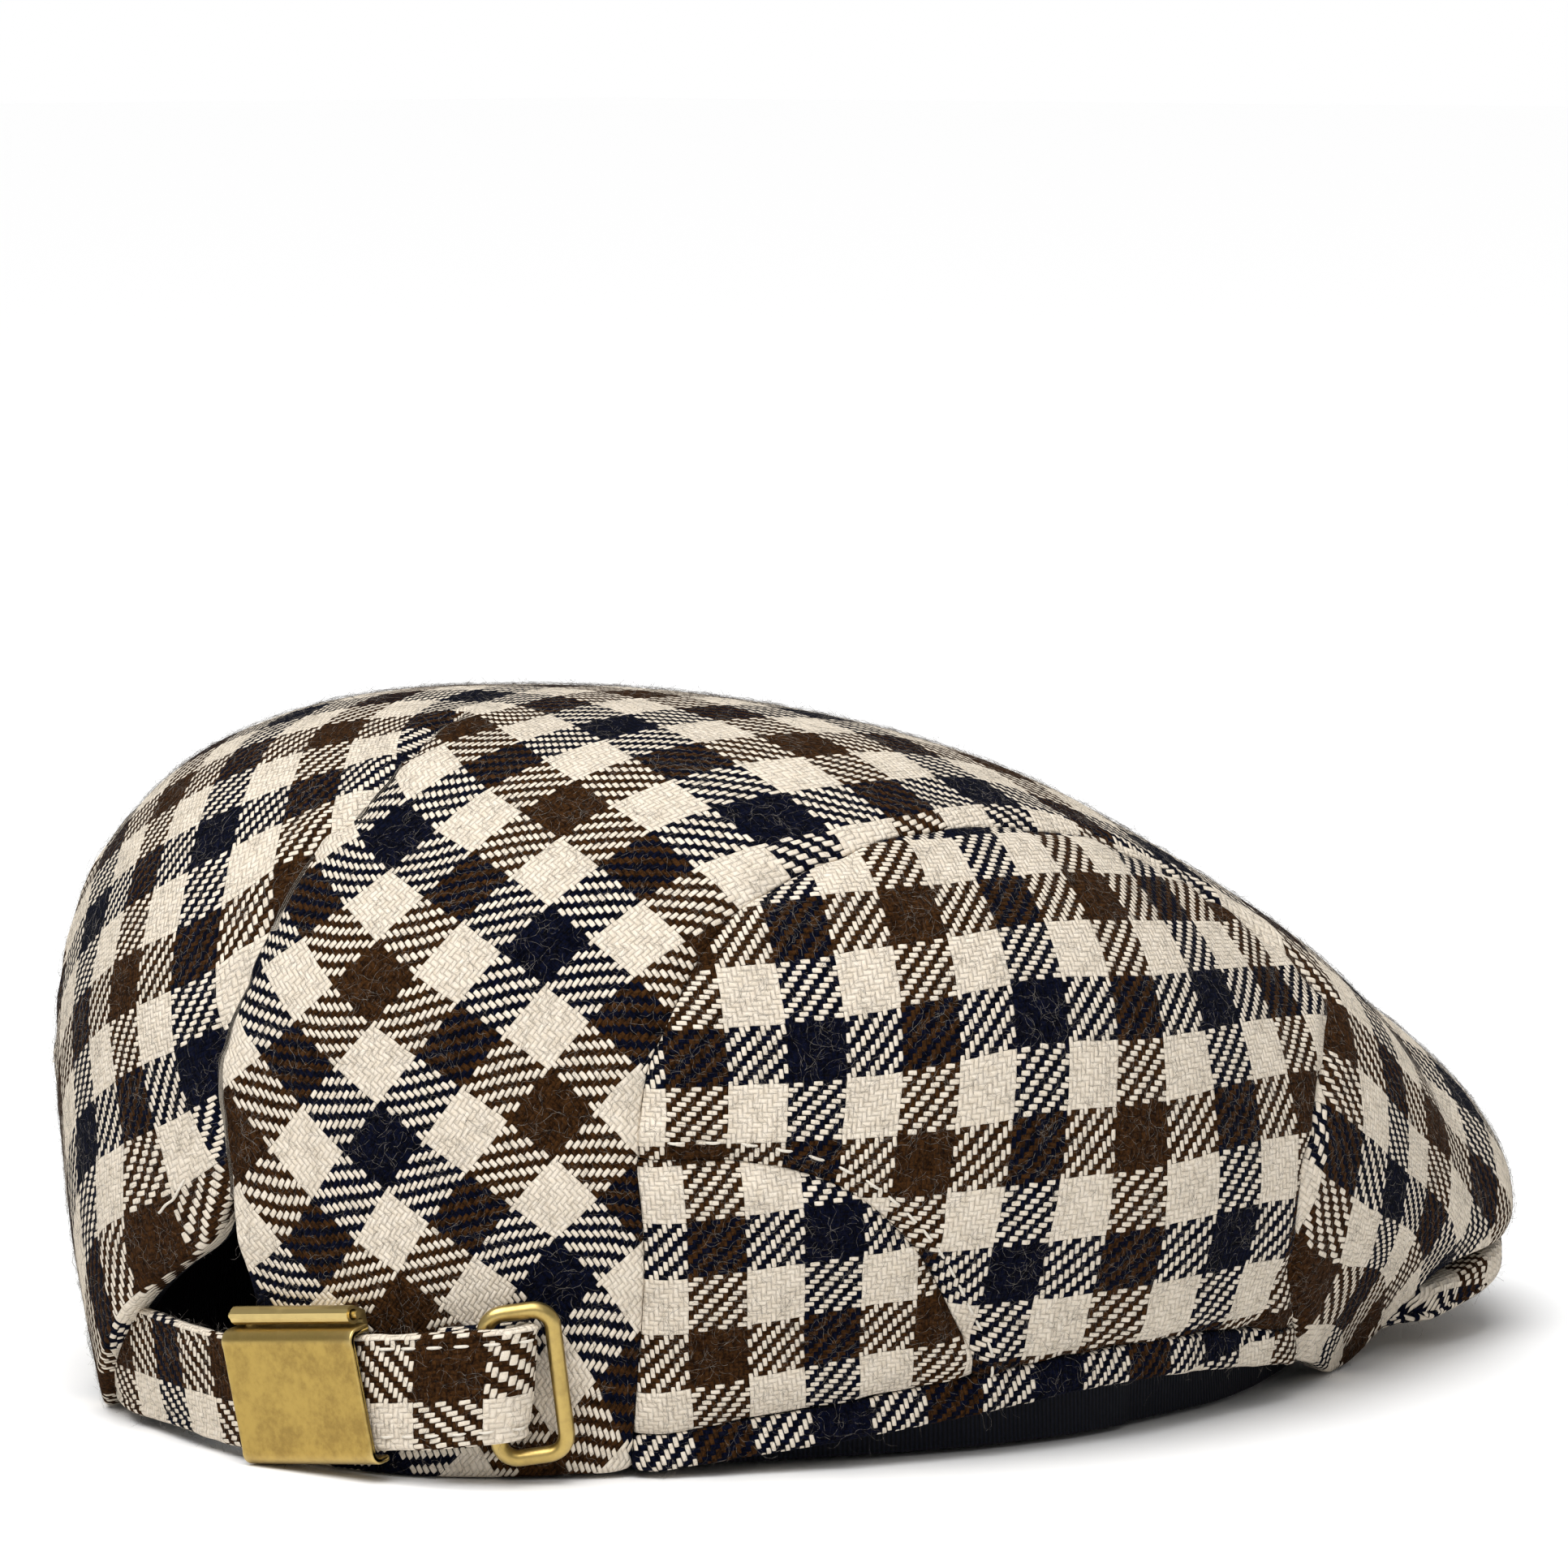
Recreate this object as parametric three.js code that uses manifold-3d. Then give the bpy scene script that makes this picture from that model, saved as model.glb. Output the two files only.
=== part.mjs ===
// A wool flat cap, resting on its hem. Millimetres. +Y is the back of the cap, -Y the peak,
// +X the wearer's left, +Z up. Until the last step the head's oval has its centre at the origin.
import * as THREE from "three";
import Module from "manifold-3d";

const wasm = await Module();
wasm.setup();

// Thicknesses and gaps
const CLOTH = 2; // the wool wall of the crown
const GAP = 0.35; // between pieces that meet
const LINING_INSET = 5.2; // from the outside of the cloth to the lining
const LINING_WALL = 1;
const LINING_RISE_BACK = 6; // the lining's lower edge over the hem
const LINING_RISE_FRONT = -5; // and under the top face of the peak
const PEAK_THICKNESS = 5.6;
const BAND_STANDS_PROUD = 0.6;

// The crown, from the centre of the back (row 0) round one side to the centre of the peak.
// Each row is one section: where it leaves the ridge, its widest point, and its lower edge.
// The fills say how far the curve bows out, and the flare how the lower edge leans.
const SECTION_COLUMNS = [
  "ridgeY", "wideX", "wideY", "wideZ", "edgeX", "edgeY", "edgeZ", "fillTop", "fillSide", "flare",
];
const SECTIONS = [
  [35, 0, 110, 53, 0, 103, 0, 0.6, 0.62, 3],
  [35, 34, 103, 53, 31, 100.5, 0, 0.62, 0.66, 3],
  [35, 65, 81, 52, 55.5, 79, 1, 0.64, 0.71, 3],
  [32, 88, 48, 50.5, 76.5, 45, 5.5, 0.66, 0.7, 3],
  [18, 97, 10, 45, 86, 7.5, 9, 0.65, 0.67, 3],
  [-8, 91, -37, 39, 80, -38, 5.5, 0.62, 0.6, 3],
  [-32, 83, -66.5, 32, 68, -63.5, 0, 0.6, 0.59, 3],
  [-42, 75, -86, 22, 69, -85, 12, 0.57, 0.55, 2],
  [-45, 65, -109, 20, 63.5, -108, 15, 0.54, 0.48, 1],
  [-45, 45, -128, 23, 44, -127, 19.4, 0.53, 0.45, 1],
  [-45, 23, -138, 26, 23, -137, 22.2, 0.52, 0.45, 1],
  [-45, 0, -141, 27.5, 0, -140, 23.1, 0.5, 0.45, 1],
].map((row) => Object.fromEntries(row.map((value, i) => [SECTION_COLUMNS[i], value])));
const CORNER = 6; // the row where the hem reaches the peak's corner
const LAST = SECTIONS.length - 1;

// The ridge over the head, seen from the side
const RIDGE = [
  { y: -160, z: 36 },
  { y: -100, z: 59.5 },
  { y: -45, z: 84 },
  { y: -5, z: 101 },
  { y: 35, z: 107 },
  { y: 80, z: 106 },
];

// Seams, seen from the side
const SIDE_PANEL = {
  rear: [
    { y: 79, z: -8 },
    { y: 79.5, z: 4 },
    { y: 84.5, z: 46 },
  ],
  top: [
    { y: 84.5, z: 46 },
    { y: 82, z: 63 },
    { y: 68, z: 82 },
    { y: 37, z: 91 },
    { y: -2, z: 87 },
    { y: -31, z: 72 },
    { y: -41, z: 61 },
  ],
  front: [
    { y: -41, z: 61 },
    { y: -32, z: 52 },
    { y: -23, z: 36 },
    { y: -27, z: 20 },
    { y: -37, z: 8 },
    { y: -38, z: -8 },
  ],
};
const GUSSET = {
  curve: [
    { y: 92, z: 46.5 },
    { y: 74, z: 46.5 },
    { y: 62, z: 42.5 },
    { y: 52, z: 34 },
    { y: 43, z: 23 },
    { y: 36, z: 12.5 },
    { y: 33, z: -8 },
  ],
  foot: [
    { y: 33, z: -8 },
    { y: 92, z: -8 },
  ],
};
const HEM_BAND = {
  top: [
    { y: 92, z: 5.6 },
    { y: 79, z: 6 },
    { y: 60, z: 8.8 },
    { y: 35, z: 12.4 },
    { y: 10, z: 14.4 },
    { y: -12, z: 13.8 },
    { y: -40, z: 11 },
  ],
  foot: [
    { y: -40, z: -8 },
    { y: 92, z: -8 },
  ],
};
// The rear arch, seen from behind: x is towards the wearer's left
const ARCH = {
  right: [
    { x: -13, z: -8 },
    { x: -12, z: 0 },
    { x: -7, z: 21 },
    { x: -3.5, z: 38 },
  ],
  left: [
    { x: -3.5, z: 38 },
    { x: 2, z: 31 },
    { x: 11, z: 26 },
    { x: 21, z: 20 },
    { x: 32, z: 11 },
    { x: 44, z: 0 },
    { x: 52, z: -8 },
  ],
};
const ARCH_IN_LINING = 5; // the lining's arch is this much wider all round

// The peak: a gently arched board that tips up towards the front
const PEAK_TIP = 0.139; // rise for each mm forwards
const PEAK_START = -2.46; // height of its under side at the head's centre
const PEAK_ARCH = 0.00095; // drop for each mm squared sideways
const PEAK_INNER = { a: 82, b: 97 }; // half axes of its inner edge
const PEAK_CORNER_INSET = 3;
const HEAD_OVAL = { a: 79.5, b: 94.5 }; // half axes that the lining stays inside

// Strap, measured along the hem from the centre of the back towards the wearer's right
const ALONG_PER_ROW = 31.5;
const STRAP_WIDTH = 17;
const STRAP_THICKNESS = 2.2;
const STRAP_HEIGHT = 10.2; // its middle over the floor
const STRAP_CLIMB = 0.12; // rise for each mm, from the buckle on
const STRAP_CLIMB_FROM = 5;
// out is from the outside of the crown to the middle of the strap
const STRAP_ROUTE = [
  { along: -50, out: -3.65 },
  { along: -36, out: -3.65 },
  { along: -25, out: -3.65 },
  { along: -17, out: -2.3 },
  { along: -6, out: 1 },
  { along: 4, out: 3.2 },
  { along: 11, out: 3.1 },
  { along: 17.8, out: 3 },
  { along: 25, out: 3.5 },
  { along: 31.5, out: 4.7 },
  { along: 37, out: 6.1 },
  { along: 42, out: 6.9 },
];
const STRAP_FOLD = { along: 46, out: 4.3, radius: 2.85 };
const STRAP_END = 37; // the returning run stops here, under the outer one

const BUCKLE = {
  along: 17.8, height: 11.9, length: 25.4, inside: 18, sheet: 1, face: 4.8, lipTop: 3, lipFoot: 2.2,
  bend: 0.9,
};
const BUCKLE_BACK = { thickness: 0.8, height: 15, length: 23, knuckle: 1.35, hole: 0.85 };
const BUCKLE_PIN = { radius: 0.55, length: 25 };
const RING = { along: 48.6, height: 15.5, wide: 9.6, tall: 21.6, corner: 2.8, wire: 1.2, out: 3.5, tip: 0.12 };
const TILT = 0.11; // the buckle and the ring lean with the strap, in radians

const STEPS = { aroundPerRow: 3, top: 8, side: 4, liningTop: 6, liningSide: 3, peakAcross: 3 };

const clamp = (v, low, high) => Math.min(high, Math.max(low, v));
const mix = (a, b, f) => a + (b - a) * f;

// Small closed surfaces are gathered as corners and triangles; equal corners are shared.
class Skin {
  corners = [];
  triangles = [];
  index = new Map();
  corner(p) {
    const key = p.map((v) => Math.round(v * 2000)).join();
    if (!this.index.has(key)) {
      this.index.set(key, this.corners.length);
      this.corners.push(p);
    }
    return this.index.get(key);
  }
  triangle(a, b, c) {
    const [i, j, k] = [a, b, c].map((p) => this.corner(p));
    if (i !== j && j !== k && k !== i) this.triangles.push(i, j, k);
  }
  quad(a, b, c, d) {
    this.triangle(a, b, c);
    this.triangle(a, c, d);
  }
  // Joins rows of corners into a sheet; its front faces the side where rows x columns turns left.
  sheet(rows) {
    for (let i = 0; i + 1 < rows.length; i++)
      for (let j = 0; j + 1 < rows[i].length; j++)
        this.quad(rows[i][j], rows[i + 1][j], rows[i + 1][j + 1], rows[i][j + 1]);
  }
  solid() {
    const made = new wasm.Manifold(
      new wasm.Mesh({
        numProp: 3,
        vertProperties: new Float32Array(this.corners.flat()),
        triVerts: new Uint32Array(this.triangles),
      }),
    );
    if (made.volume() > 0) return made;
    for (let i = 0; i < this.triangles.length; i += 3)
      [this.triangles[i + 1], this.triangles[i + 2]] = [this.triangles[i + 2], this.triangles[i + 1]];
    return this.solid();
  }
}

// A three.js solid as a manifold, moved to its place first
function solidOf(geometry, matrix = new THREE.Matrix4()) {
  const g = (geometry.index ? geometry.toNonIndexed() : geometry).clone().applyMatrix4(matrix);
  const at = g.getAttribute("position");
  const skin = new Skin();
  const corner = (i) => [at.getX(i), at.getY(i), at.getZ(i)];
  for (let i = 0; i < at.count; i += 3) skin.triangle(corner(i), corner(i + 1), corner(i + 2));
  return skin.solid();
}

function geometryOf(solid) {
  const mesh = solid.getMesh();
  const geometry = new THREE.BufferGeometry();
  geometry.setAttribute("position", new THREE.BufferAttribute(mesh.vertProperties, 3));
  geometry.setIndex(new THREE.BufferAttribute(mesh.triVerts, 1));
  geometry.computeVertexNormals();
  return geometry;
}

// The table's value at a place between rows, smooth and mirrored at both ends
function tableAt(column, t) {
  const sign = column.endsWith("X") ? -1 : 1;
  const at = (i) =>
    i < 0 ? sign * SECTIONS[-i][column] : i > LAST ? sign * SECTIONS[2 * LAST - i][column] : SECTIONS[i][column];
  const i = Math.min(Math.floor(t), LAST - 1);
  const f = t - i;
  const [a, b, c, d] = [at(i - 1), at(i), at(i + 1), at(i + 2)];
  const bend = (2 * a - 5 * b + 4 * c - d) * f * f + (3 * b - a - 3 * c + d) * f * f * f;
  return 0.5 * (2 * b + (c - a) * f + bend);
}

function ridgeAt(y) {
  const i = clamp(RIDGE.findIndex((p) => p.y > y) - 1, 1, RIDGE.length - 3);
  const [p, q, r, s] = RIDGE.slice(i - 1, i + 3);
  const width = r.y - q.y;
  const f = (y - q.y) / width;
  const start = ((r.z - p.z) / (r.y - p.y)) * width;
  const end = ((s.z - q.z) / (s.y - q.y)) * width;
  const [f2, f3] = [f * f, f * f * f];
  const z = (2 * f3 - 3 * f2 + 1) * q.z + (f3 - 2 * f2 + f) * start + (3 * f2 - 2 * f3) * r.z + (f3 - f2) * end;
  const slope = ((6 * f2 - 6 * f) * (q.z - r.z) + (3 * f2 - 4 * f + 1) * start + (3 * f2 - 2 * f) * end) / width;
  return { z, slope };
}

// The way out of the crown at row t, in plan
function outwards(t) {
  const step = 0.05;
  const before = Math.max(t - step, 0);
  const after = Math.min(t + step, LAST);
  const dx = tableAt("wideX", after) - tableAt("wideX", before);
  const dy = tableAt("wideY", after) - tableAt("wideY", before);
  const n = t <= 0 ? [0, 1] : t >= LAST ? [0, -1] : [-dy, dx];
  const size = Math.hypot(...n);
  return n.map((v) => v / size);
}

// One section: the four control points over the shoulder, and the four down to the lower edge
function sectionAt(t, inset = 0, rise = 0) {
  const n = outwards(t);
  const ridgeY = clamp(tableAt("ridgeY", t), SECTIONS[LAST].ridgeY, SECTIONS[0].ridgeY);
  const ridge = ridgeAt(ridgeY);
  const top = [0, ridgeY, ridge.z - inset];
  const wide = [
    tableAt("wideX", t) - n[0] * inset,
    tableAt("wideY", t) - n[1] * inset,
    tableAt("wideZ", t),
  ];
  const edge = [
    tableAt("edgeX", t) - n[0] * inset,
    tableAt("edgeY", t) - n[1] * inset,
    Math.max(0, tableAt("edgeZ", t)) + rise,
  ];
  if (t === 0 || t === LAST) wide[0] = edge[0] = 0;
  const fillTop = tableAt("fillTop", t);
  const fillSide = tableAt("fillSide", t);
  const flare = tableAt("flare", t);
  const reach = [wide[0], wide[1] - ridgeY];
  const shoulder = [
    reach[0] * fillTop,
    ridgeY + reach[1] * fillTop,
    top[2] + reach[1] * fillTop * ridge.slope,
  ];
  const cheek = [wide[0], wide[1], mix(wide[2], shoulder[2], fillSide)];
  const drop = wide[2] - edge[2];
  const belly = [wide[0], wide[1], wide[2] - 0.45 * drop];
  const lean = [edge[0] + n[0] * flare, edge[1] + n[1] * flare, edge[2] + 0.35 * drop];
  return { n, over: [top, shoulder, cheek, wide], down: [wide, belly, lean, edge] };
}

function bezier([a, b, c, d], f) {
  const g = 1 - f;
  return a.map((_, k) => g * g * g * a[k] + 3 * f * g * g * b[k] + 3 * f * f * g * c[k] + f * f * f * d[k]);
}

// Corners of the crown's surface: a row of corners for each section, from the ridge to the edge
function crownRows(steps, inset, rise = () => 0, confine = (p) => p) {
  const rows = [];
  for (let i = 0; i <= LAST * STEPS.aroundPerRow; i++) {
    const t = i / STEPS.aroundPerRow;
    const { over, down } = sectionAt(t, inset, rise(t));
    const row = [];
    for (let k = 0; k < steps.top; k++) row.push(confine(bezier(over, k / steps.top)));
    for (let k = 0; k <= steps.side; k++) row.push(confine(bezier(down, k / steps.side)));
    rows.push(row);
  }
  return rows;
}

const mirrored = (rows) => rows.map((row) => row.map(([x, y, z]) => [-x, y, z]));

// A wall between an outer and an inner surface, closed at its lower edge, both halves in one
function wall(outer, inner) {
  const skin = new Skin();
  const turned = (rows) => rows.map((row) => [...row].reverse());
  const rim = outer.map((row, i) => [row.at(-1), inner[i].at(-1)]);
  for (const rows of [outer, turned(inner), rim]) {
    skin.sheet(rows);
    skin.sheet(turned(mirrored(rows)));
  }
  return skin.solid();
}

const crownWall = (from, to) =>
  wall(
    crownRows({ top: STEPS.top, side: STEPS.side }, from),
    crownRows({ top: STEPS.top, side: STEPS.side }, to),
  );

// Moves each corner of a closed outline away from its middle line by d
function grown(outline, d) {
  const turn = Math.sign(THREE.ShapeUtils.area(outline.map(([x, y]) => ({ x, y }))));
  return outline.map(([x, y], i) => {
    const [px, py] = outline.at(i - 1);
    const [qx, qy] = outline[(i + 1) % outline.length];
    const before = new THREE.Vector2(y - py, px - x).normalize();
    const after = new THREE.Vector2(qy - y, x - qx).normalize();
    const out = before.clone().add(after);
    const size = (2 * turn * d) / Math.max(out.lengthSq(), 0.5);
    return [x + out.x * size, y + out.y * size];
  });
}

// A seam's runs are smooth curves that meet at corners
function outlineOf(seam, across) {
  return Object.values(seam).flatMap((run) => {
    const curve = new THREE.SplineCurve(run.map((p) => new THREE.Vector2(p[across], p.z)));
    return curve.getPoints(run.length * 2).slice(0, -1).map((p) => [p.x, p.y]);
  });
}

function prism(outline, depth, matrix) {
  const shape = new THREE.Shape(outline.map(([x, y]) => new THREE.Vector2(x, y)));
  return solidOf(new THREE.ExtrudeGeometry(shape, { depth, bevelEnabled: false }), matrix);
}

// A cutter through one side of the cap, from an outline seen from the side
function sideCutter(seam, side, d = 0) {
  const outline = grown(outlineOf(seam, "y"), d);
  const matrix = new THREE.Matrix4().makeBasis(
    new THREE.Vector3(0, 1, 0),
    new THREE.Vector3(0, 0, 1),
    new THREE.Vector3(1, 0, 0),
  );
  matrix.setPosition(side > 0 ? 20 : -130, 0, 0);
  return prism(outline, 110, matrix);
}

// A cutter through the back, from an outline seen from behind
function backCutter(seam, d = 0) {
  const outline = grown(outlineOf(seam, "x"), d);
  const matrix = new THREE.Matrix4().makeBasis(
    new THREE.Vector3(1, 0, 0),
    new THREE.Vector3(0, 0, 1),
    new THREE.Vector3(0, -1, 0),
  );
  matrix.setPosition(0, 140, 0);
  return prism(outline, 90, matrix);
}

const peakUnder = (x, y) => PEAK_START - PEAK_TIP * y - PEAK_ARCH * x * x;

// A crescent from corner to corner, its outer edge flush with the flap that covers it
function peakSolid() {
  const rows = { under: [], over: [] };
  const inner = (f) => {
    const from = Math.asin(63 / PEAK_INNER.b);
    const angle = mix(from, Math.PI / 2, f);
    return [PEAK_INNER.a * Math.cos(angle), -PEAK_INNER.b * Math.sin(angle)];
  };
  const steps = (LAST - CORNER) * STEPS.aroundPerRow;
  for (let i = -steps; i <= steps; i++) {
    const side = Math.sign(i) || 1;
    const f = 1 - Math.abs(i) / steps;
    const t = mix(CORNER, LAST, f);
    const n = outwards(t);
    const inset = mix(PEAK_CORNER_INSET, 0, clamp((t - CORNER - 0.85) * 5, 0, 1));
    const outer = [tableAt("edgeX", t) - n[0] * inset, tableAt("edgeY", t) - n[1] * inset];
    if (t === LAST) outer[0] = 0;
    const from = inner(f);
    const under = [];
    const over = [];
    for (let k = 0; k <= STEPS.peakAcross; k++) {
      const x = side * mix(from[0], outer[0], k / STEPS.peakAcross);
      const y = mix(from[1], outer[1], k / STEPS.peakAcross);
      const z = peakUnder(x, y);
      under.push([x, y, z]);
      over.push([x, y, z + PEAK_THICKNESS]);
    }
    rows.under.push(under);
    rows.over.push(over.reverse());
  }
  const skin = new Skin();
  const hoops = rows.under.map((under, i) => [...under, ...rows.over[i], under[0]]);
  skin.sheet(hoops);
  const last = hoops.length - 1;
  skin.sheet([[...rows.over[0]].reverse(), rows.under[0]]);
  skin.sheet([rows.under[last], [...rows.over[last]].reverse()]);
  return skin.solid().subtract(crownWall(-GAP, CLOTH + GAP));
}

// The lining follows the crown from inside, but drops down inside the peak's inner edge.
// It is sewn of the same three pieces as the crown.
function liningSolid() {
  const rise = (t) => mix(LINING_RISE_BACK, LINING_RISE_FRONT, clamp(t - CORNER, 0, 1));
  const within = (shrink) => ([x, y, z]) => {
    const size = Math.hypot(x / (HEAD_OVAL.a - shrink), y / (HEAD_OVAL.b - shrink));
    return size > 1 && y < 0 ? [x / size, y / size, z] : [x, y, z];
  };
  const steps = { top: STEPS.liningTop, side: STEPS.liningSide };
  return wall(
    crownRows(steps, LINING_INSET, rise, within(0)),
    crownRows(steps, LINING_INSET + LINING_WALL, rise, within(LINING_WALL)),
  ).subtract(backCutter(ARCH, ARCH_IN_LINING));
}

// A point near the back of the crown: along the hem to the wearer's right, up, and out of the cloth
function byTheHem(along, height, out) {
  const t = Math.abs(along) / ALONG_PER_ROW;
  const { n, down } = sectionAt(t);
  let [low, high] = [0, 1];
  for (let i = 0; i < 24; i++) {
    const f = (low + high) / 2;
    if (bezier(down, f)[2] > height) low = f;
    else high = f;
  }
  const p = bezier(down, low);
  const side = along > 0 ? -1 : 1;
  return [side * (p[0] + n[0] * out), p[1] + n[1] * out, height];
}

const strapHeight = (along) => STRAP_HEIGHT + STRAP_CLIMB * Math.max(0, along - STRAP_CLIMB_FROM);

function strapSolid() {
  const fold = STRAP_FOLD;
  const run = new THREE.SplineCurve(STRAP_ROUTE.map(({ along, out }) => new THREE.Vector2(along, out)));
  const line = run.getPoints(36);
  for (let i = 0; i <= 8; i++) {
    const angle = Math.PI / 2 - (Math.PI * i) / 8;
    const along = fold.along + fold.radius * Math.cos(angle);
    line.push(new THREE.Vector2(along, fold.out + fold.radius * Math.sin(angle)));
  }
  line.push(new THREE.Vector2(mix(fold.along, STRAP_END, 0.5), fold.out - fold.radius));
  line.push(new THREE.Vector2(STRAP_END, fold.out - fold.radius));
  const hoops = line.map((p, i) => {
    const way = line[Math.min(i + 1, line.length - 1)].clone().sub(line[Math.max(i - 1, 0)]).normalize();
    const half = STRAP_THICKNESS / 2;
    const middle = strapHeight(p.x);
    const faces = [1, -1].map((face) => {
      const along = p.x - way.y * half * face;
      const out = p.y + way.x * half * face;
      return [-1, -0.33, 0.33, 1].map((k) => byTheHem(along, middle + (k * STRAP_WIDTH) / 2, out));
    });
    return { outer: faces[0], inner: faces[1] };
  });
  const skin = new Skin();
  skin.sheet(hoops.map(({ outer, inner }) => [...outer, ...[...inner].reverse(), outer[0]]));
  const first = hoops[0];
  const last = hoops.at(-1);
  skin.sheet([first.inner, first.outer]);
  skin.sheet([last.outer, last.inner]);
  return skin.solid();
}

// Axes of a rigid fitting that lies on the crown by the hem: along the strap, up, and out
function fittingFrame({ along, height }) {
  const point = (a, h) => new THREE.Vector3(...byTheHem(a, h, 0));
  const run = point(along + 5, height).sub(point(along - 5, height)).normalize();
  const up = point(along, height + 6).sub(point(along, height - 6)).normalize();
  const out = new THREE.Vector3().crossVectors(run, up).normalize();
  up.crossVectors(out, run).normalize();
  const frame = new THREE.Matrix4().makeBasis(run, up, out);
  frame.setPosition(point(along, height));
  return frame.multiply(new THREE.Matrix4().makeRotationZ(TILT));
}

// A profile in the plane of up and out, drawn out along the strap
function drawnOut(shape, length, frame) {
  const turned = new THREE.Matrix4().makeBasis(
    new THREE.Vector3(0, 1, 0),
    new THREE.Vector3(0, 0, 1),
    new THREE.Vector3(1, 0, 0),
  );
  const place = frame.clone().multiply(new THREE.Matrix4().makeTranslation(-length / 2, 0, 0)).multiply(turned);
  const options = { depth: length, bevelEnabled: false, curveSegments: 5 };
  return solidOf(new THREE.ExtrudeGeometry(shape, options), place);
}

// The plate's profile: a flat face, a lip bent back over the strap and a shorter one under it
function buckleProfile() {
  const { inside, sheet, face, lipTop, lipFoot, bend } = BUCKLE;
  const half = inside / 2;
  const shape = new THREE.Shape();
  shape.moveTo(half, face - lipTop);
  shape.lineTo(half, face - bend);
  shape.absarc(half - bend, face - bend, bend, 0, Math.PI / 2, false);
  shape.lineTo(-half + bend, face);
  shape.absarc(-half + bend, face - bend, bend, Math.PI / 2, Math.PI, false);
  shape.lineTo(-half, face - lipFoot);
  shape.lineTo(-half - sheet, face - lipFoot);
  shape.absarc(-half + bend, face - bend, bend + sheet, Math.PI, Math.PI / 2, true);
  shape.lineTo(half - bend, face + sheet);
  shape.absarc(half - bend, face - bend, bend + sheet, Math.PI / 2, 0, true);
  shape.lineTo(half + sheet, face - lipTop);
  return shape;
}

// The body behind the strap, with a knuckle for the pin along its top
function buckleBackProfile() {
  const { thickness, height, knuckle } = BUCKLE_BACK;
  const shape = new THREE.Shape();
  const centre = { up: BUCKLE.inside / 2 + BUCKLE.sheet + knuckle + GAP, out: knuckle + GAP + 1.2 };
  const angle = Math.asin(Math.min(1, (centre.out - GAP - thickness) / knuckle));
  shape.moveTo(-height / 2, GAP);
  shape.lineTo(-height / 2, GAP + thickness);
  shape.lineTo(centre.up - knuckle * 0.9, GAP + thickness);
  shape.absarc(centre.up, centre.out, knuckle, Math.PI + angle * 0.6, Math.PI * 1.75, true);
  shape.lineTo(centre.up, GAP);
  const hole = new THREE.Path();
  hole.absarc(centre.up, centre.out, BUCKLE_BACK.hole, 0, 2 * Math.PI, false);
  shape.holes.push(hole);
  return { shape, centre };
}

function ringSolid() {
  const { wide, tall, corner, wire, out, tip } = RING;
  const frame = fittingFrame(RING);
  const turns = 5;
  const line = [];
  for (let q = 0; q < 4; q++) {
    const cx = (wide / 2 - corner) * (q === 0 || q === 3 ? 1 : -1);
    const cy = (tall / 2 - corner) * (q < 2 ? 1 : -1);
    for (let k = 0; k <= turns; k++) {
      const angle = (Math.PI / 2) * (q + k / turns);
      line.push({ a: cx + corner * Math.cos(angle), b: cy + corner * Math.sin(angle), angle });
    }
  }
  line.push(line[0]);
  const sides = 8;
  const hoops = line.map(({ a, b, angle }) => {
    const hoop = [];
    for (let k = 0; k <= sides; k++) {
      const turn = (2 * Math.PI * (k % sides)) / sides;
      const across = wire * Math.cos(turn);
      const x = a + across * Math.cos(angle);
      const y = b + across * Math.sin(angle);
      const p = new THREE.Vector3(x, y, out - tip * x + wire * Math.sin(turn)).applyMatrix4(frame);
      hoop.push(p.toArray());
    }
    return hoop;
  });
  const skin = new Skin();
  skin.sheet(hoops);
  return skin.solid();
}

const wool = () => new THREE.MeshStandardMaterial({ color: 0x8a7a68, roughness: 0.95, metalness: 0 });
const satin = () => new THREE.MeshStandardMaterial({ color: 0x0c0d12, roughness: 0.6, metalness: 0 });
const brass = () => new THREE.MeshStandardMaterial({ color: 0xa8873f, roughness: 0.4, metalness: 1 });

const cap = new THREE.Group();
function add(name, solid, material) {
  const mesh = new THREE.Mesh(geometryOf(solid), material);
  mesh.name = name;
  cap.add(mesh);
}

// Crown
const crown = crownWall(0, CLOTH);
const proudCrown = crownWall(-BAND_STANDS_PROUD, CLOTH);
let topPanel = crown.subtract(backCutter(ARCH));
for (const side of [1, -1]) {
  const name = side > 0 ? "left" : "right";
  const panel = sideCutter(SIDE_PANEL, side);
  const aboveBand = sideCutter(HEM_BAND, side, GAP);
  topPanel = topPanel.subtract(sideCutter(SIDE_PANEL, side, GAP));
  const blank = crown.intersect(panel).subtract(aboveBand);
  add("side_panel_" + name, blank.subtract(sideCutter(GUSSET, side, GAP)), wool());
  add("ear_gusset_" + name, blank.intersect(sideCutter(GUSSET, side)), wool());
  add("hem_band_" + name, proudCrown.intersect(panel).intersect(sideCutter(HEM_BAND, side)), wool());
}
add("top_panel", topPanel, wool());
add("peak", peakSolid(), wool());
let liningTop = liningSolid();
for (const side of [1, -1]) {
  const name = side > 0 ? "left" : "right";
  add("lining_side_" + name, liningTop.intersect(sideCutter(SIDE_PANEL, side)), satin());
  liningTop = liningTop.subtract(sideCutter(SIDE_PANEL, side, GAP));
}
add("lining_top", liningTop, satin());

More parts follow.
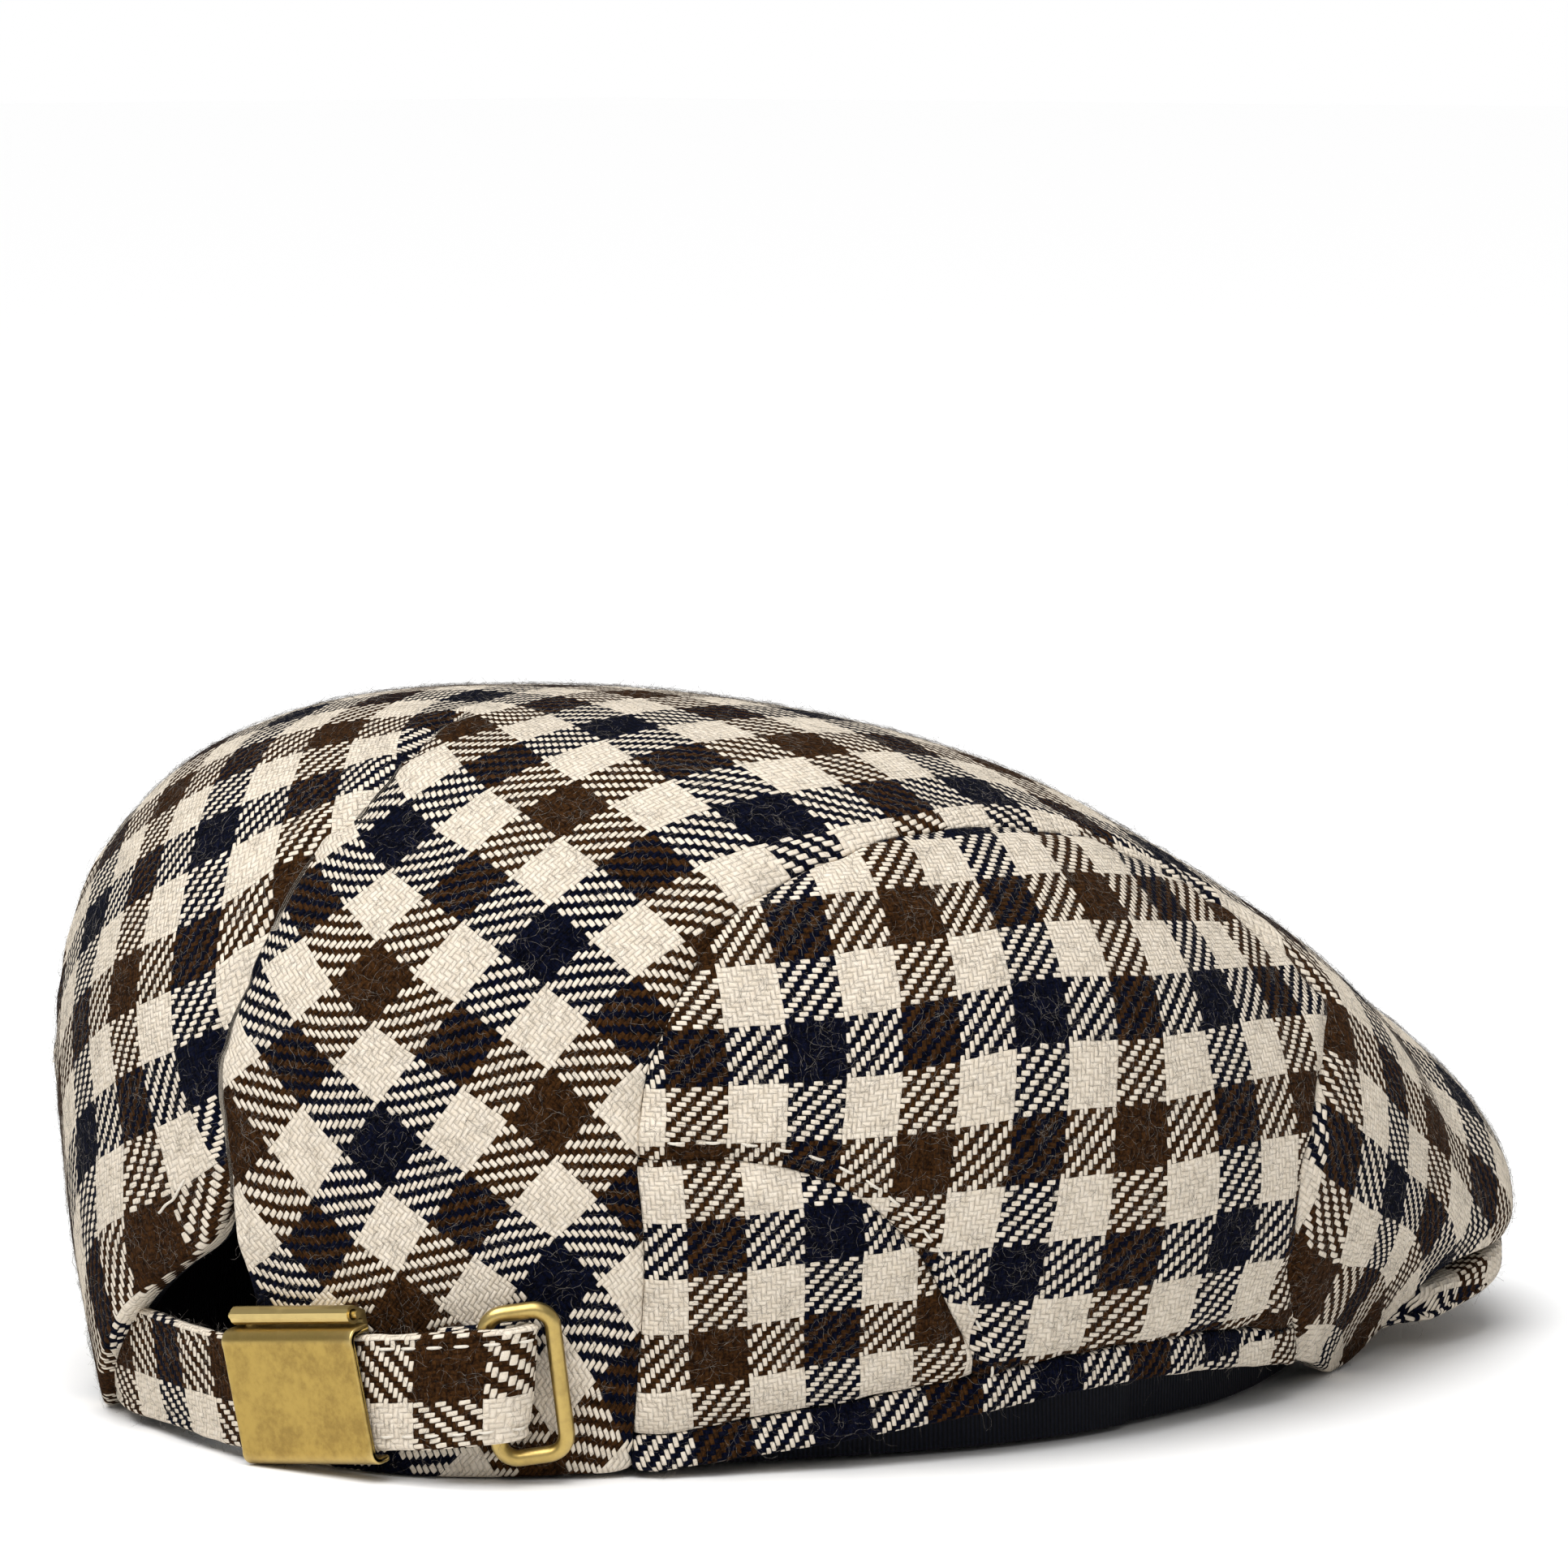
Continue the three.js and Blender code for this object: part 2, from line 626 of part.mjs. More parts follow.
// Strap and its brass
const buckleFrame = fittingFrame(BUCKLE);
const back = buckleBackProfile();
const pinShape = new THREE.Shape();
pinShape.absarc(back.centre.up, back.centre.out, BUCKLE_PIN.radius, 0, 2 * Math.PI, false);
add("strap", strapSolid(), wool());
add("buckle_plate", drawnOut(buckleProfile(), BUCKLE.length, buckleFrame), brass());
add("buckle_frame", drawnOut(back.shape, BUCKLE_BACK.length, buckleFrame), brass());
add("buckle_pin", drawnOut(pinShape, BUCKLE_PIN.length, buckleFrame), brass());
add("strap_ring", ringSolid(), brass());

// The origin goes to the floor under the middle of the whole cap
const box = new THREE.Box3().setFromObject(cap);
const middle = box.getCenter(new THREE.Vector3());
cap.position.set(-middle.x, -middle.y, -box.min.z);

export default cap;
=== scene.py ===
# %% [markdown]
# A wool flat cap, dressed over its frame.
# The real cap is sewn from a one-piece top, two side panels, ear gussets, hem bands and a
# covered peak, all cut from one checked twill. The frame holds each of those pieces as a plain
# wall. Here each wall is replaced by a finely meshed sheet of cloth whose flat pattern is known,
# so that the check runs over the cap as it would on cut and sewn cloth. Projecting the check
# from the side would be quicker, but it would run across the seams without a break.

import math

import bpy
import numpy as np
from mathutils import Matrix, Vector


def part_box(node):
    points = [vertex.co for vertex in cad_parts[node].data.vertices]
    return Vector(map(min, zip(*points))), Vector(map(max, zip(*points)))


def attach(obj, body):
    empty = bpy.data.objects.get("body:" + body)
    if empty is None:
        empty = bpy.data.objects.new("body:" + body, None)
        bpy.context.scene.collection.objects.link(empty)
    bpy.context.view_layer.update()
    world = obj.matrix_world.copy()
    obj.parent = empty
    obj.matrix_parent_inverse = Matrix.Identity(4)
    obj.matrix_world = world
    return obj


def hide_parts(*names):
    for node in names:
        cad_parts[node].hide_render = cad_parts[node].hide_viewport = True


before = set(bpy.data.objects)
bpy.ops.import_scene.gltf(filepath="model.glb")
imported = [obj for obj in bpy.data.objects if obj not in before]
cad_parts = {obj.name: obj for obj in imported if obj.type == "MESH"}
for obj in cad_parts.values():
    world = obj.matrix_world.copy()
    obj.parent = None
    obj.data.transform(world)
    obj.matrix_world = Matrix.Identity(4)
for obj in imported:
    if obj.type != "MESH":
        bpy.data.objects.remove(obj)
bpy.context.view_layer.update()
MM = 0.001

# %% [markdown]
# The camera looks at the wearer's right side from behind, a little over the floor.
# A long lens far away keeps the cap's outline nearly parallel, as in a shop photograph. A camera
# could also be aimed with a constraint, but two angles and a place are easier to fit and to keep.

# %% Camera
CAMERA_AT = Vector((-0.8574, 0.9044, 0.2072))
CAMERA_TURN, CAMERA_RISE = math.radians(223.6), math.radians(5.4)
LENS = 186.3

towards_camera = Vector((
    math.sin(CAMERA_TURN) * math.cos(CAMERA_RISE),
    -math.cos(CAMERA_TURN) * math.cos(CAMERA_RISE),
    math.sin(CAMERA_RISE),
))
camera_data = bpy.data.cameras.new("camera")
camera_data.lens, camera_data.sensor_width = LENS, 36
camera_data.clip_start, camera_data.clip_end = 0.05, 60
camera = bpy.data.objects.new("camera", camera_data)
camera.location = CAMERA_AT
camera.rotation_mode = "QUATERNION"
camera.rotation_quaternion = (-towards_camera).to_track_quat("-Z", "Y")
bpy.context.scene.collection.objects.link(camera)
bpy.context.scene.camera = camera
print("camera", round(CAMERA_AT.length, 3), "m from the cap")

# %% [markdown]
# The crown is one smooth skin over the head. It is drawn by twelve sections, from the centre of
# the back round one side to the centre of the peak. Each section leaves the ridge over the head,
# bows out over the shoulder to its widest point, and turns down to the hem.
# A place on the skin is a pair: round, from -11 to 11 with the wearer's right side positive, and
# down, which is 0 at the ridge, 1 at the widest point and 2 at the hem.
# A sculpted mesh would also do, but a formula lets every seam and fitting find the same skin.

# %% The crown's sections
SECTION_COLUMNS = (
    "ridge_y", "wide_x", "wide_y", "wide_z", "edge_x", "edge_y", "edge_z",
    "fill_top", "fill_side", "flare",
)
SECTIONS = np.array([
    (35, 0, 110, 53, 0, 103, 0, 0.6, 0.62, 3),
    (35, 34, 103, 53, 31, 100.5, 0, 0.62, 0.66, 3),
    (35, 65, 81, 52, 55.5, 79, 1, 0.64, 0.71, 3),
    (32, 88, 48, 50.5, 76.5, 45, 5.5, 0.66, 0.7, 3),
    (18, 97, 10, 45, 86, 7.5, 9, 0.65, 0.67, 3),
    (-8, 91, -37, 39, 80, -38, 5.5, 0.62, 0.6, 3),
    (-32, 83, -66.5, 32, 68, -63.5, 0, 0.6, 0.59, 3),
    (-42, 75, -86, 22, 69, -85, 12, 0.57, 0.55, 2),
    (-45, 65, -109, 20, 63.5, -108, 15, 0.54, 0.48, 1),
    (-45, 45, -128, 23, 44, -127, 19.4, 0.53, 0.45, 1),
    (-45, 23, -138, 26, 23, -137, 22.2, 0.52, 0.45, 1),
    (-45, 0, -141, 27.5, 0, -140, 23.1, 0.5, 0.45, 1),
])
RIDGE = np.array([(-160, 36), (-100, 59.5), (-45, 84), (-5, 101), (35, 107), (80, 106)], float)
CORNER, LAST = 6, len(SECTIONS) - 1
BACK_OF_CROWN = 110 * MM
HEAD_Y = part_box("top_panel")[1].y - BACK_OF_CROWN


def columns_at(place):
    """The table between its rows, smooth and mirrored at both ends, as a dict of columns."""
    place = np.abs(place)
    mirror = np.array([-1 if name.endswith("_x") else 1 for name in SECTION_COLUMNS])
    rows = np.vstack([SECTIONS[1] * mirror, SECTIONS, SECTIONS[-2] * mirror])
    i = np.clip(place.astype(int), 0, LAST - 1)
    f = (place - i)[:, None]
    a, b, c, d = (rows[i + k] for k in range(4))
    values = 0.5 * (
        2 * b + (c - a) * f + (2 * a - 5 * b + 4 * c - d) * f**2 + (3 * b - a - 3 * c + d) * f**3
    )
    return dict(zip(SECTION_COLUMNS, values.T))


def ridge_at(y):
    """Height and slope of the ridge over the head."""
    i = np.clip(np.searchsorted(RIDGE[:, 0], y, side="right") - 1, 1, len(RIDGE) - 3)
    before, start, end, after = (RIDGE[i + k] for k in (-1, 0, 1, 2))
    width = end[:, 0] - start[:, 0]
    f = (y - start[:, 0]) / width
    rise_in = (end[:, 1] - before[:, 1]) / (end[:, 0] - before[:, 0]) * width
    rise_out = (after[:, 1] - start[:, 1]) / (after[:, 0] - start[:, 0]) * width
    z = (
        (2 * f**3 - 3 * f**2 + 1) * start[:, 1] + (f**3 - 2 * f**2 + f) * rise_in
        + (3 * f**2 - 2 * f**3) * end[:, 1] + (f**3 - f**2) * rise_out
    )
    slope = (
        (6 * f**2 - 6 * f) * (start[:, 1] - end[:, 1]) + (3 * f**2 - 4 * f + 1) * rise_in
        + (3 * f**2 - 2 * f) * rise_out
    ) / width
    return z, slope


def outwards_at(place):
    """The way out of the crown in plan, on the side where x is positive."""
    step = 0.05
    low = columns_at(np.clip(np.abs(place) - step, 0, LAST))
    high = columns_at(np.clip(np.abs(place) + step, 0, LAST))
    way = np.stack([low["wide_y"] - high["wide_y"], high["wide_x"] - low["wide_x"]], 1)
    way[np.abs(place) <= 0] = (0, 1)
    way[np.abs(place) >= LAST] = (0, -1)
    return way / np.linalg.norm(way, axis=1)[:, None]


def skin(place, down, inset=0.0, rise=0.0):
    """Points of the crown's skin in the frame, in metres; inset and rise are in millimetres."""
    place, down = np.broadcast_arrays(np.asarray(place, float), np.asarray(down, float))
    shape = place.shape
    place, down = place.ravel(), down.ravel()
    rise = np.broadcast_to(rise, shape).ravel()
    c, n = columns_at(place), outwards_at(place)
    ridge_y = np.clip(c["ridge_y"], SECTIONS[-1, 0], SECTIONS[0, 0])
    ridge_z, slope = ridge_at(ridge_y)
    zero = 0 * ridge_z
    top = np.stack([zero, ridge_y, ridge_z - inset], 1)
    wide = np.stack([c["wide_x"] - n[:, 0] * inset, c["wide_y"] - n[:, 1] * inset, c["wide_z"]], 1)
    edge = np.stack([
        c["edge_x"] - n[:, 0] * inset, c["edge_y"] - n[:, 1] * inset,
        np.maximum(0, c["edge_z"]) + rise,
    ], 1)
    reach_x, reach_y = wide[:, 0], wide[:, 1] - ridge_y
    shoulder = top + np.stack([reach_x, reach_y, reach_y * slope], 1) * c["fill_top"][:, None]
    cheek = wide.copy()
    cheek[:, 2] += (shoulder[:, 2] - wide[:, 2]) * c["fill_side"]
    drop = wide[:, 2] - edge[:, 2]
    belly = wide - np.stack([zero, zero, 0.45 * drop], 1)
    lean = edge + np.stack([n[:, 0] * c["flare"], n[:, 1] * c["flare"], 0.35 * drop], 1)
    lower = (down >= 1)[:, None]
    f = (down - (down >= 1))[:, None]
    upper_curve, lower_curve = (top, shoulder, cheek, wide), (wide, belly, lean, edge)
    p, q, r, s = (np.where(lower, b, a) for a, b in zip(upper_curve, lower_curve))
    g = 1 - f
    at = g**3 * p + 3 * f * g**2 * q + 3 * f**2 * g * r + f**3 * s
    at[:, 0] *= np.where(place > 0, -1, 1)
    return (at * MM + (0, HEAD_Y, 0)).reshape(*shape, 3)


def skin_normals(place, down):
    """Unit vectors out of the skin."""
    step = 0.01
    low, high = np.clip(down - step, 0.004, 2), np.clip(down + step, 0.004, 2)
    across = skin(place + step, np.maximum(down, 0.004)) - skin(place - step, np.maximum(down, 0.004))
    along = skin(place, low) - skin(place, high)
    n = np.cross(across, along)
    return n / np.maximum(np.linalg.norm(n, axis=-1), 1e-12)[..., None]


for name, place, down in (("widest point, right", 4, 1), ("hem, centre of the back", 0, 2)):
    print(name, np.round(skin([place], [down])[0] / MM, 1))

# %% [markdown]
# Seams are the lines along which a cap is cut and sewn. The side seams are drawn as seen from the
# side, the arch at the back as seen from behind, and the dart runs from the arch's top over the
# back. Every seam is a smooth run through a few points, and from it come two numbers for any
# place on the cloth: how far the seam is, and how far along the seam that is. Those two place
# the cut, the rolled edge, the puckers and the stitches.

# %% Seams
SIDE_SEAM = {
    "rear": [(79, -8), (79.5, 4), (84.5, 46)],
    "top": [(84.5, 46), (82, 63), (68, 82), (37, 91), (-2, 87), (-31, 72), (-41, 61)],
    "front": [(-41, 61), (-32, 52), (-23, 36), (-27, 20), (-37, 8), (-38, -8)],
}
GUSSET_SEAM = {
    "curve": [(92, 46.5), (74, 46.5), (62, 42.5), (52, 34), (43, 23), (36, 12.5), (33, -8)],
    "foot": [(33, -8), (92, -8)],
}
BAND_SEAM = {
    "top": [(92, 5.6), (79, 6), (60, 8.8), (35, 12.4), (10, 14.4), (-12, 13.8), (-40, 11)],
    "foot": [(-40, -8), (92, -8)],
}
ARCH_EDGE = {
    "right": [(-13, -8), (-12, 0), (-7, 21), (-3.5, 38)],
    "left": [(-3.5, 38), (2, 31), (11, 26), (21, 20), (32, 11), (44, 0), (52, -8)],
}
# From the arch up over the back, as x and the place's height and depth come from the skin
DART = [(-3.5, 108, 36), (-3.7, 108.6, 42), (-1.5, 108.7, 59), (-5.5, 105.5, 72), (-7.5, 96.6, 87),
        (-11.4, 88.5, 94), (-7.7, 73, 103), (-6, 66.6, 105)]


def length_along(at):
    """How far each point is along a line of points."""
    return np.concatenate([[0], np.cumsum(np.linalg.norm(np.diff(at, axis=0), axis=1))])


def smooth_run(points, steps=10):
    """A curve through the points, with its ends held."""
    points = np.asarray(points, float)
    ends = np.vstack([points[0], points, points[-1]])
    out = []
    for i in range(len(points) - 1):
        a, b, c, d = ends[i : i + 4]
        f = np.linspace(0, 1, steps, endpoint=False)[:, None]
        out.append(0.5 * (
            2 * b + (c - a) * f + (2 * a - 5 * b + 4 * c - d) * f**2 + (3 * b - a - 3 * c + d) * f**3
        ))
    return np.vstack(out + [points[-1:]])


def closed_outline(seam):
    return np.vstack([smooth_run(run)[:-1] for run in seam.values()]) * MM


def distance_to(points, line, closed=True):
    """Distance from each point to a line, and how far along the line the nearest place is."""
    ends = np.roll(line, -1, 0) if closed else line[1:]
    starts = line if closed else line[:-1]
    way = ends - starts
    length = np.linalg.norm(way, axis=1)
    run_up = np.concatenate([[0], np.cumsum(length)[:-1]])
    best, along = np.full(len(points), 1e9), np.zeros(len(points))
    for start, step, size, before in zip(starts, way, length, run_up):
        if size < 1e-9:
            continue
        f = np.clip((points - start) @ step / size**2, 0, 1)
        d = np.linalg.norm(points - start - f[:, None] * step, axis=1)
        nearer = d < best
        best[nearer], along[nearer] = d[nearer], (before + f * size)[nearer]
    return best, along


def inside_outline(points, outline):
    """True where a point lies inside a closed outline."""
    inside = np.zeros(len(points), bool)
    for (x0, y0), (x1, y1) in zip(outline, np.roll(outline, -1, 0)):
        if y0 == y1:
            continue
        crosses = (y0 > points[:, 1]) != (y1 > points[:, 1])
        x = x0 + (points[:, 1] - y0) / (y1 - y0) * (x1 - x0)
        inside ^= crosses & (points[:, 0] < x)
    return inside


def past_outline(points, normals, outline, axes):
    """Distance over the cloth from an outline, below 0 inside it, and how far along the outline."""
    flat = points[:, axes] - (np.array((0, HEAD_Y, 0)))[list(axes)]
    d, along = distance_to(flat, outline)
    sign = np.where(inside_outline(flat, outline), -1.0, 1.0)
    # The outline is seen square on, and the cloth leans, so the way over it is longer.
    step = 0.05 * MM
    ahead = flat.copy()
    lean = np.zeros(len(flat))
    for k, axis in enumerate(axes):
        ahead[:] = flat
        ahead[:, k] += step
        change = (distance_to(ahead, outline)[0] - d) / step
        lean += change * normals[:, axis]
    return sign * d / np.sqrt(np.clip(1 - lean**2, 0.08, 1)), along


SIDE_OUTLINE, GUSSET_OUTLINE, BAND_OUTLINE = map(closed_outline, (SIDE_SEAM, GUSSET_SEAM, BAND_SEAM))
ARCH_OUTLINE = closed_outline(ARCH_EDGE)
DART_LINE = smooth_run(DART) * MM + (0, HEAD_Y, 0)
for name, outline in (("side", SIDE_OUTLINE), ("gusset", GUSSET_OUTLINE), ("arch", ARCH_OUTLINE)):
    print(name, "seam's outline has", len(outline), "points")

# %% [markdown]
# A sheet of cloth starts as a coarse net of triangles on the skin, a little larger than its
# panel. Blender's unwrapping with the least stretch lays that net flat, as a cutter lays out a
# pattern, and so gives every place its place on the bolt. The net is then divided, laid back on
# the skin, and cut along its seams. Cutting first and unwrapping the fine mesh would give the
# same pattern but take far longer.

# %% Nets of cloth
NET_STEP = 0.2  # a column of the net, in sections
NET_ROWS = np.concatenate([np.linspace(0, 1, 19), np.linspace(1, 2, 8)[1:]])


class Net:
    """Triangles whose corners carry their place on the skin and on the flat pattern."""

    def __init__(self, corners, triangles):
        self.corners, self.triangles = corners, triangles  # corners: round, down, u, v

    def kept(self, mask):
        """The triangles that the mask keeps, and only the corners they use."""
        triangles = self.triangles[mask]
        used, numbers = np.unique(triangles, return_inverse=True)
        return Net(self.corners[used], numbers.reshape(-1, 3))

    def divided(self):
        """Each triangle as four."""
        t = self.triangles
        edges = np.sort(np.vstack([t[:, [0, 1]], t[:, [1, 2]], t[:, [2, 0]]]), axis=1)
        unique, number = np.unique(edges, axis=0, return_inverse=True)
        middle = self.corners[unique].mean(1)
        ab, bc, ca = (number.reshape(3, -1) + len(self.corners))
        a, b, c = t.T
        triangles = np.stack([a, ab, ca, ab, b, bc, ca, bc, c, ab, bc, ca], 1).reshape(-1, 3)
        return Net(np.vstack([self.corners, middle]), triangles)

    def cut(self, past):
        """What is left where past, one number for each corner, is below 0."""
        past = np.where(np.abs(past) < 1e-7, 1e-7, past)
        out = past > 0
        t = self.triangles
        count = out[t].sum(1)
        corners, made, triangles = [self.corners], {}, [t[count == 0]]
        total = len(self.corners)
        new = []
        for tri in t[(count == 1) | (count == 2)]:
            ring = []
            for a, b in zip(tri, np.roll(tri, -1)):
                if not out[a]:
                    ring.append(a)
                if out[a] != out[b]:
                    key = (a, b) if a < b else (b, a)
                    if key not in made:
                        f = past[key[0]] / (past[key[0]] - past[key[1]])
                        made[key] = total + len(made)
                        corners.append((self.corners[key[0]] * (1 - f) + self.corners[key[1]] * f)[None])
                    ring.append(made[key])
            for k in range(1, len(ring) - 1):
                new.append((ring[0], ring[k], ring[k + 1]))
        if new:
            triangles.append(np.array(new))
        return Net(np.vstack(corners), np.vstack(triangles)).kept(slice(None))

    def places(self):
        return self.corners[:, 0], self.corners[:, 1]


def whole_net():
    places = np.arange(-LAST, LAST + NET_STEP / 2, NET_STEP)
    rows, columns = len(NET_ROWS), len(places)
    corners = np.zeros((columns, rows, 4))
    corners[..., 0], corners[..., 1] = places[:, None], NET_ROWS[None]
    number = np.arange(columns * rows).reshape(columns, rows)
    a, b, c, d = number[:-1, :-1], number[1:, :-1], number[1:, 1:], number[:-1, 1:]
    triangles = np.stack([a, d, c, a, c, b], -1).reshape(-1, 3)
    return Net(corners.reshape(-1, 4), triangles)


def seam_facts(net):
    """For each corner of a net: where it is, which way is out, and its distance past each seam."""
    place, down = net.places()
    at, n = skin(place, down), skin_normals(place, down)
    facts = {"at": at, "normal": n}
    for name, outline, axes in (
        ("side", SIDE_OUTLINE, (1, 2)), ("gusset", GUSSET_OUTLINE, (1, 2)),
        ("band", BAND_OUTLINE, (1, 2)), ("arch", ARCH_OUTLINE, (0, 2)),
    ):
        facts[name], facts[name + "_along"] = past_outline(at, n, outline, axes)
    facts["arch"][at[:, 1] < HEAD_Y + 50 * MM] = 1.0
    facts["side"][np.abs(at[:, 0]) < 20 * MM] = 1.0
    facts["dart"], facts["dart_along"] = distance_to(at, DART_LINE, closed=False)
    facts["hem"] = np.linalg.norm(at - skin(place, np.full(len(place), 2.0)), axis=1)
    return facts


whole = whole_net()
print("the whole net has", len(whole.triangles), "triangles")

# %% [markdown]
# The top is one piece with a dart at the back. Its net is split along the dart, and the split is
# carried on over the head to the peak, but only the dart itself stays open when the net is laid
# flat. Places that coincide in front of the dart are joined again.

# %% Joining, laying flat and turning to the grain
DART_END = DART_LINE[-1]


def joined(points, apart=None):
    """One number for each place; points with different marks stay apart."""
    key = np.round(points / (0.002 * MM)).astype(np.int64)
    if apart is not None:
        key = np.column_stack([key, apart])
    return np.unique(key, axis=0, return_inverse=True)[1].ravel()


def without_slivers(triangles):
    a, b, c = triangles.T
    return (a != b) & (b != c) & (c != a)


def laid_flat(net, apart=None):
    """The net with u and v, in metres, from Blender's unwrapping with the least stretch."""
    at = skin(*net.places())
    number = joined(at, apart)
    first = np.unique(number, return_index=True)[1]
    triangles = number[net.triangles]
    triangles = triangles[without_slivers(triangles)]
    mesh = bpy.data.meshes.new("pattern")
    mesh.from_pydata(at[first].tolist(), [], triangles.tolist())
    mesh.uv_layers.new(name="pattern")
    obj = bpy.data.objects.new("pattern", mesh)
    bpy.context.scene.collection.objects.link(obj)
    for other in bpy.context.selected_objects:
        other.select_set(False)
    bpy.context.view_layer.objects.active = obj
    obj.select_set(True)
    bpy.ops.object.mode_set(mode="EDIT")
    bpy.ops.mesh.select_all(action="SELECT")
    bpy.ops.uv.unwrap(method="MINIMUM_STRETCH", fill_holes=True, correct_aspect=False, iterations=20)
    bpy.ops.object.mode_set(mode="OBJECT")
    uv = np.zeros((len(mesh.loops), 2))
    mesh.uv_layers["pattern"].uv.foreach_get("vector", uv.ravel())
    flat = np.zeros((len(first), 2))
    flat[triangles.ravel()] = uv.reshape(-1, 2)
    bpy.data.objects.remove(obj)
    bpy.data.meshes.remove(mesh)

    def area(p):
        u, v = p[triangles[:, 1]] - p[triangles[:, 0]], p[triangles[:, 2]] - p[triangles[:, 0]]
        return np.cross(u, v)

    true_area = np.linalg.norm(area(at[first]), axis=1).sum()
    flat_area = area(flat).sum()
    flat *= math.sqrt(true_area / abs(flat_area))
    if flat_area < 0:
        flat[:, 0] *= -1
    net.corners[:, 2:] = flat[number]
    return net


# %% [markdown]
# A thread is about three quarters of a millimetre. Places on the bolt are counted in eighths of a
# band.

# %% The cloth's count
BANDS, THREADS_IN_BAND = 4, 12
REPEAT = 36.5 * MM
THREAD = REPEAT / BANDS / THREADS_IN_BAND
EIGHTH = REPEAT / BANDS / 8
print("thread", round(THREAD / MM, 2), "mm")

# %% [markdown]
# Along a seam the cloth turns down into the groove between two panels. That edge is modelled:
# a quarter turn of small radius, then a short way down, added as rows along the cut edge.
# Beside the seam the cloth swells a little, and it puckers where the thread pulls it in.

# %% Relief, rolled edges and making the mesh
SEAM_ROLL, HEM_ROLL = 0.62 * MM, 1.1 * MM
SEAM_OFF = 0.43 * MM  # the cut's distance from the seam, so that the two rolled edges press together


def soft_noise(points, size, seed):
    """Smooth noise from -1 to 1 whose bumps are about size across."""
    p = np.asarray(points) / np.asarray(size)
    cell = np.floor(p).astype(np.int64)
    f = p - cell
    f = f * f * f * (f * (f * 6 - 15) + 10)
    total = np.zeros(len(p))
    for corner in np.ndindex(*(2,) * p.shape[1]):
        k = cell + corner
        h = np.full(len(p), seed * 7919 + 12345, np.int64)
        for axis in range(p.shape[1]):
            h = ((h ^ (k[:, axis] * (73856093, 19349663, 83492791)[axis])) * 2654435761) & 0x7FFFFFFF
            h ^= h >> 13
        value = ((h * 1274126177) & 0x7FFFFFFF) / 0x3FFFFFFF - 1
        weight = np.prod(np.where(corner, f, 1 - f), axis=1)
        total += weight * value
    return total


SLOW_WAVES = ((0.5 * MM, 34 * MM, 3), (0.16 * MM, 13 * MM, 5))  # height, size and seed
SWELL, SWELL_AT, SWELL_WIDE = 0.42 * MM, 4.4 * MM, 2.8 * MM  # beside a seam
GROOVE, GROOVE_WIDE = 0.62 * MM, 1.7 * MM  # over it
PUCKER, PUCKER_SIZE, PUCKER_REACH = 0.62 * MM, (4.2 * MM, 16 * MM), 6.5 * MM
PUCKER_SEED = 11


def relief(facts, seams):
    """Height over the skin: slow waves all over, and swells and puckers beside the seams."""
    height = sum(high * soft_noise(facts["at"], size, seed) for high, size, seed in SLOW_WAVES)
    for seam in seams:
        d = np.abs(facts[seam])
        along = facts[seam + "_along"]
        height += SWELL * np.exp(-(((d - SWELL_AT) / SWELL_WIDE) ** 2))
        height -= GROOVE * np.exp(-((d / GROOVE_WIDE) ** 2))
        ripple = soft_noise(np.column_stack([along, d]), PUCKER_SIZE, PUCKER_SEED + len(seam))
        height += PUCKER * ripple * np.exp(-d / PUCKER_REACH)
    return height


def spread_normals(at, triangles, count):
    face = np.cross(at[triangles[:, 1]] - at[triangles[:, 0]], at[triangles[:, 2]] - at[triangles[:, 0]])
    n = np.zeros((count, 3))
    for k in range(3):
        np.add.at(n, triangles[:, k], face)
    return n / np.maximum(np.linalg.norm(n, axis=1), 1e-15)[:, None]


def pattern_slopes(at, uv, triangles):
    """For each corner, how the flat pattern changes along x, y and z: a 3 by 2 matrix."""
    p = np.stack([at[triangles[:, 1]] - at[triangles[:, 0]], at[triangles[:, 2]] - at[triangles[:, 0]]], 2)
    q = np.stack([uv[triangles[:, 1]] - uv[triangles[:, 0]], uv[triangles[:, 2]] - uv[triangles[:, 0]]], 1)
    square = np.einsum("nij,nik->njk", p, p)
    det = square[:, 0, 0] * square[:, 1, 1] - square[:, 0, 1] ** 2
    good = det > 1e-22
    p, q, square, triangles = p[good], q[good], square[good], triangles[good]
    slope = np.einsum("nij,njk,nkl->nil", p, np.linalg.inv(square), q)
    weight = np.sqrt(det[good])[:, None, None]
    total, weights = np.zeros((len(at), 3, 2)), np.zeros((len(at), 1, 1))
    for k in range(3):
        np.add.at(total, triangles[:, k], slope * weight)
        np.add.at(weights, triangles[:, k], weight)
    return total / np.maximum(weights, 1e-20)


def edge_loops(triangles):
    """Closed rings of corners along the sheet's edges, with the sheet on their left."""
    directed = np.vstack([triangles[:, [0, 1]], triangles[:, [1, 2]], triangles[:, [2, 0]]])
    pairs = set(map(tuple, directed.tolist()))
    follow = {a: b for a, b in pairs if (b, a) not in pairs}
    loops = []
    while follow:
        start, at = next(iter(follow.items()))
        loop = [start]
        del follow[start]
        while at != start and at in follow:
            loop.append(at)
            at = follow.pop(at)
        if len(loop) > 8:
            loops.append(np.array(loop))
    return loops


def ring_mean(values, reach):
    total = sum(np.roll(values, k, 0) for k in range(-reach, reach + 1))
    return total / (2 * reach + 1)


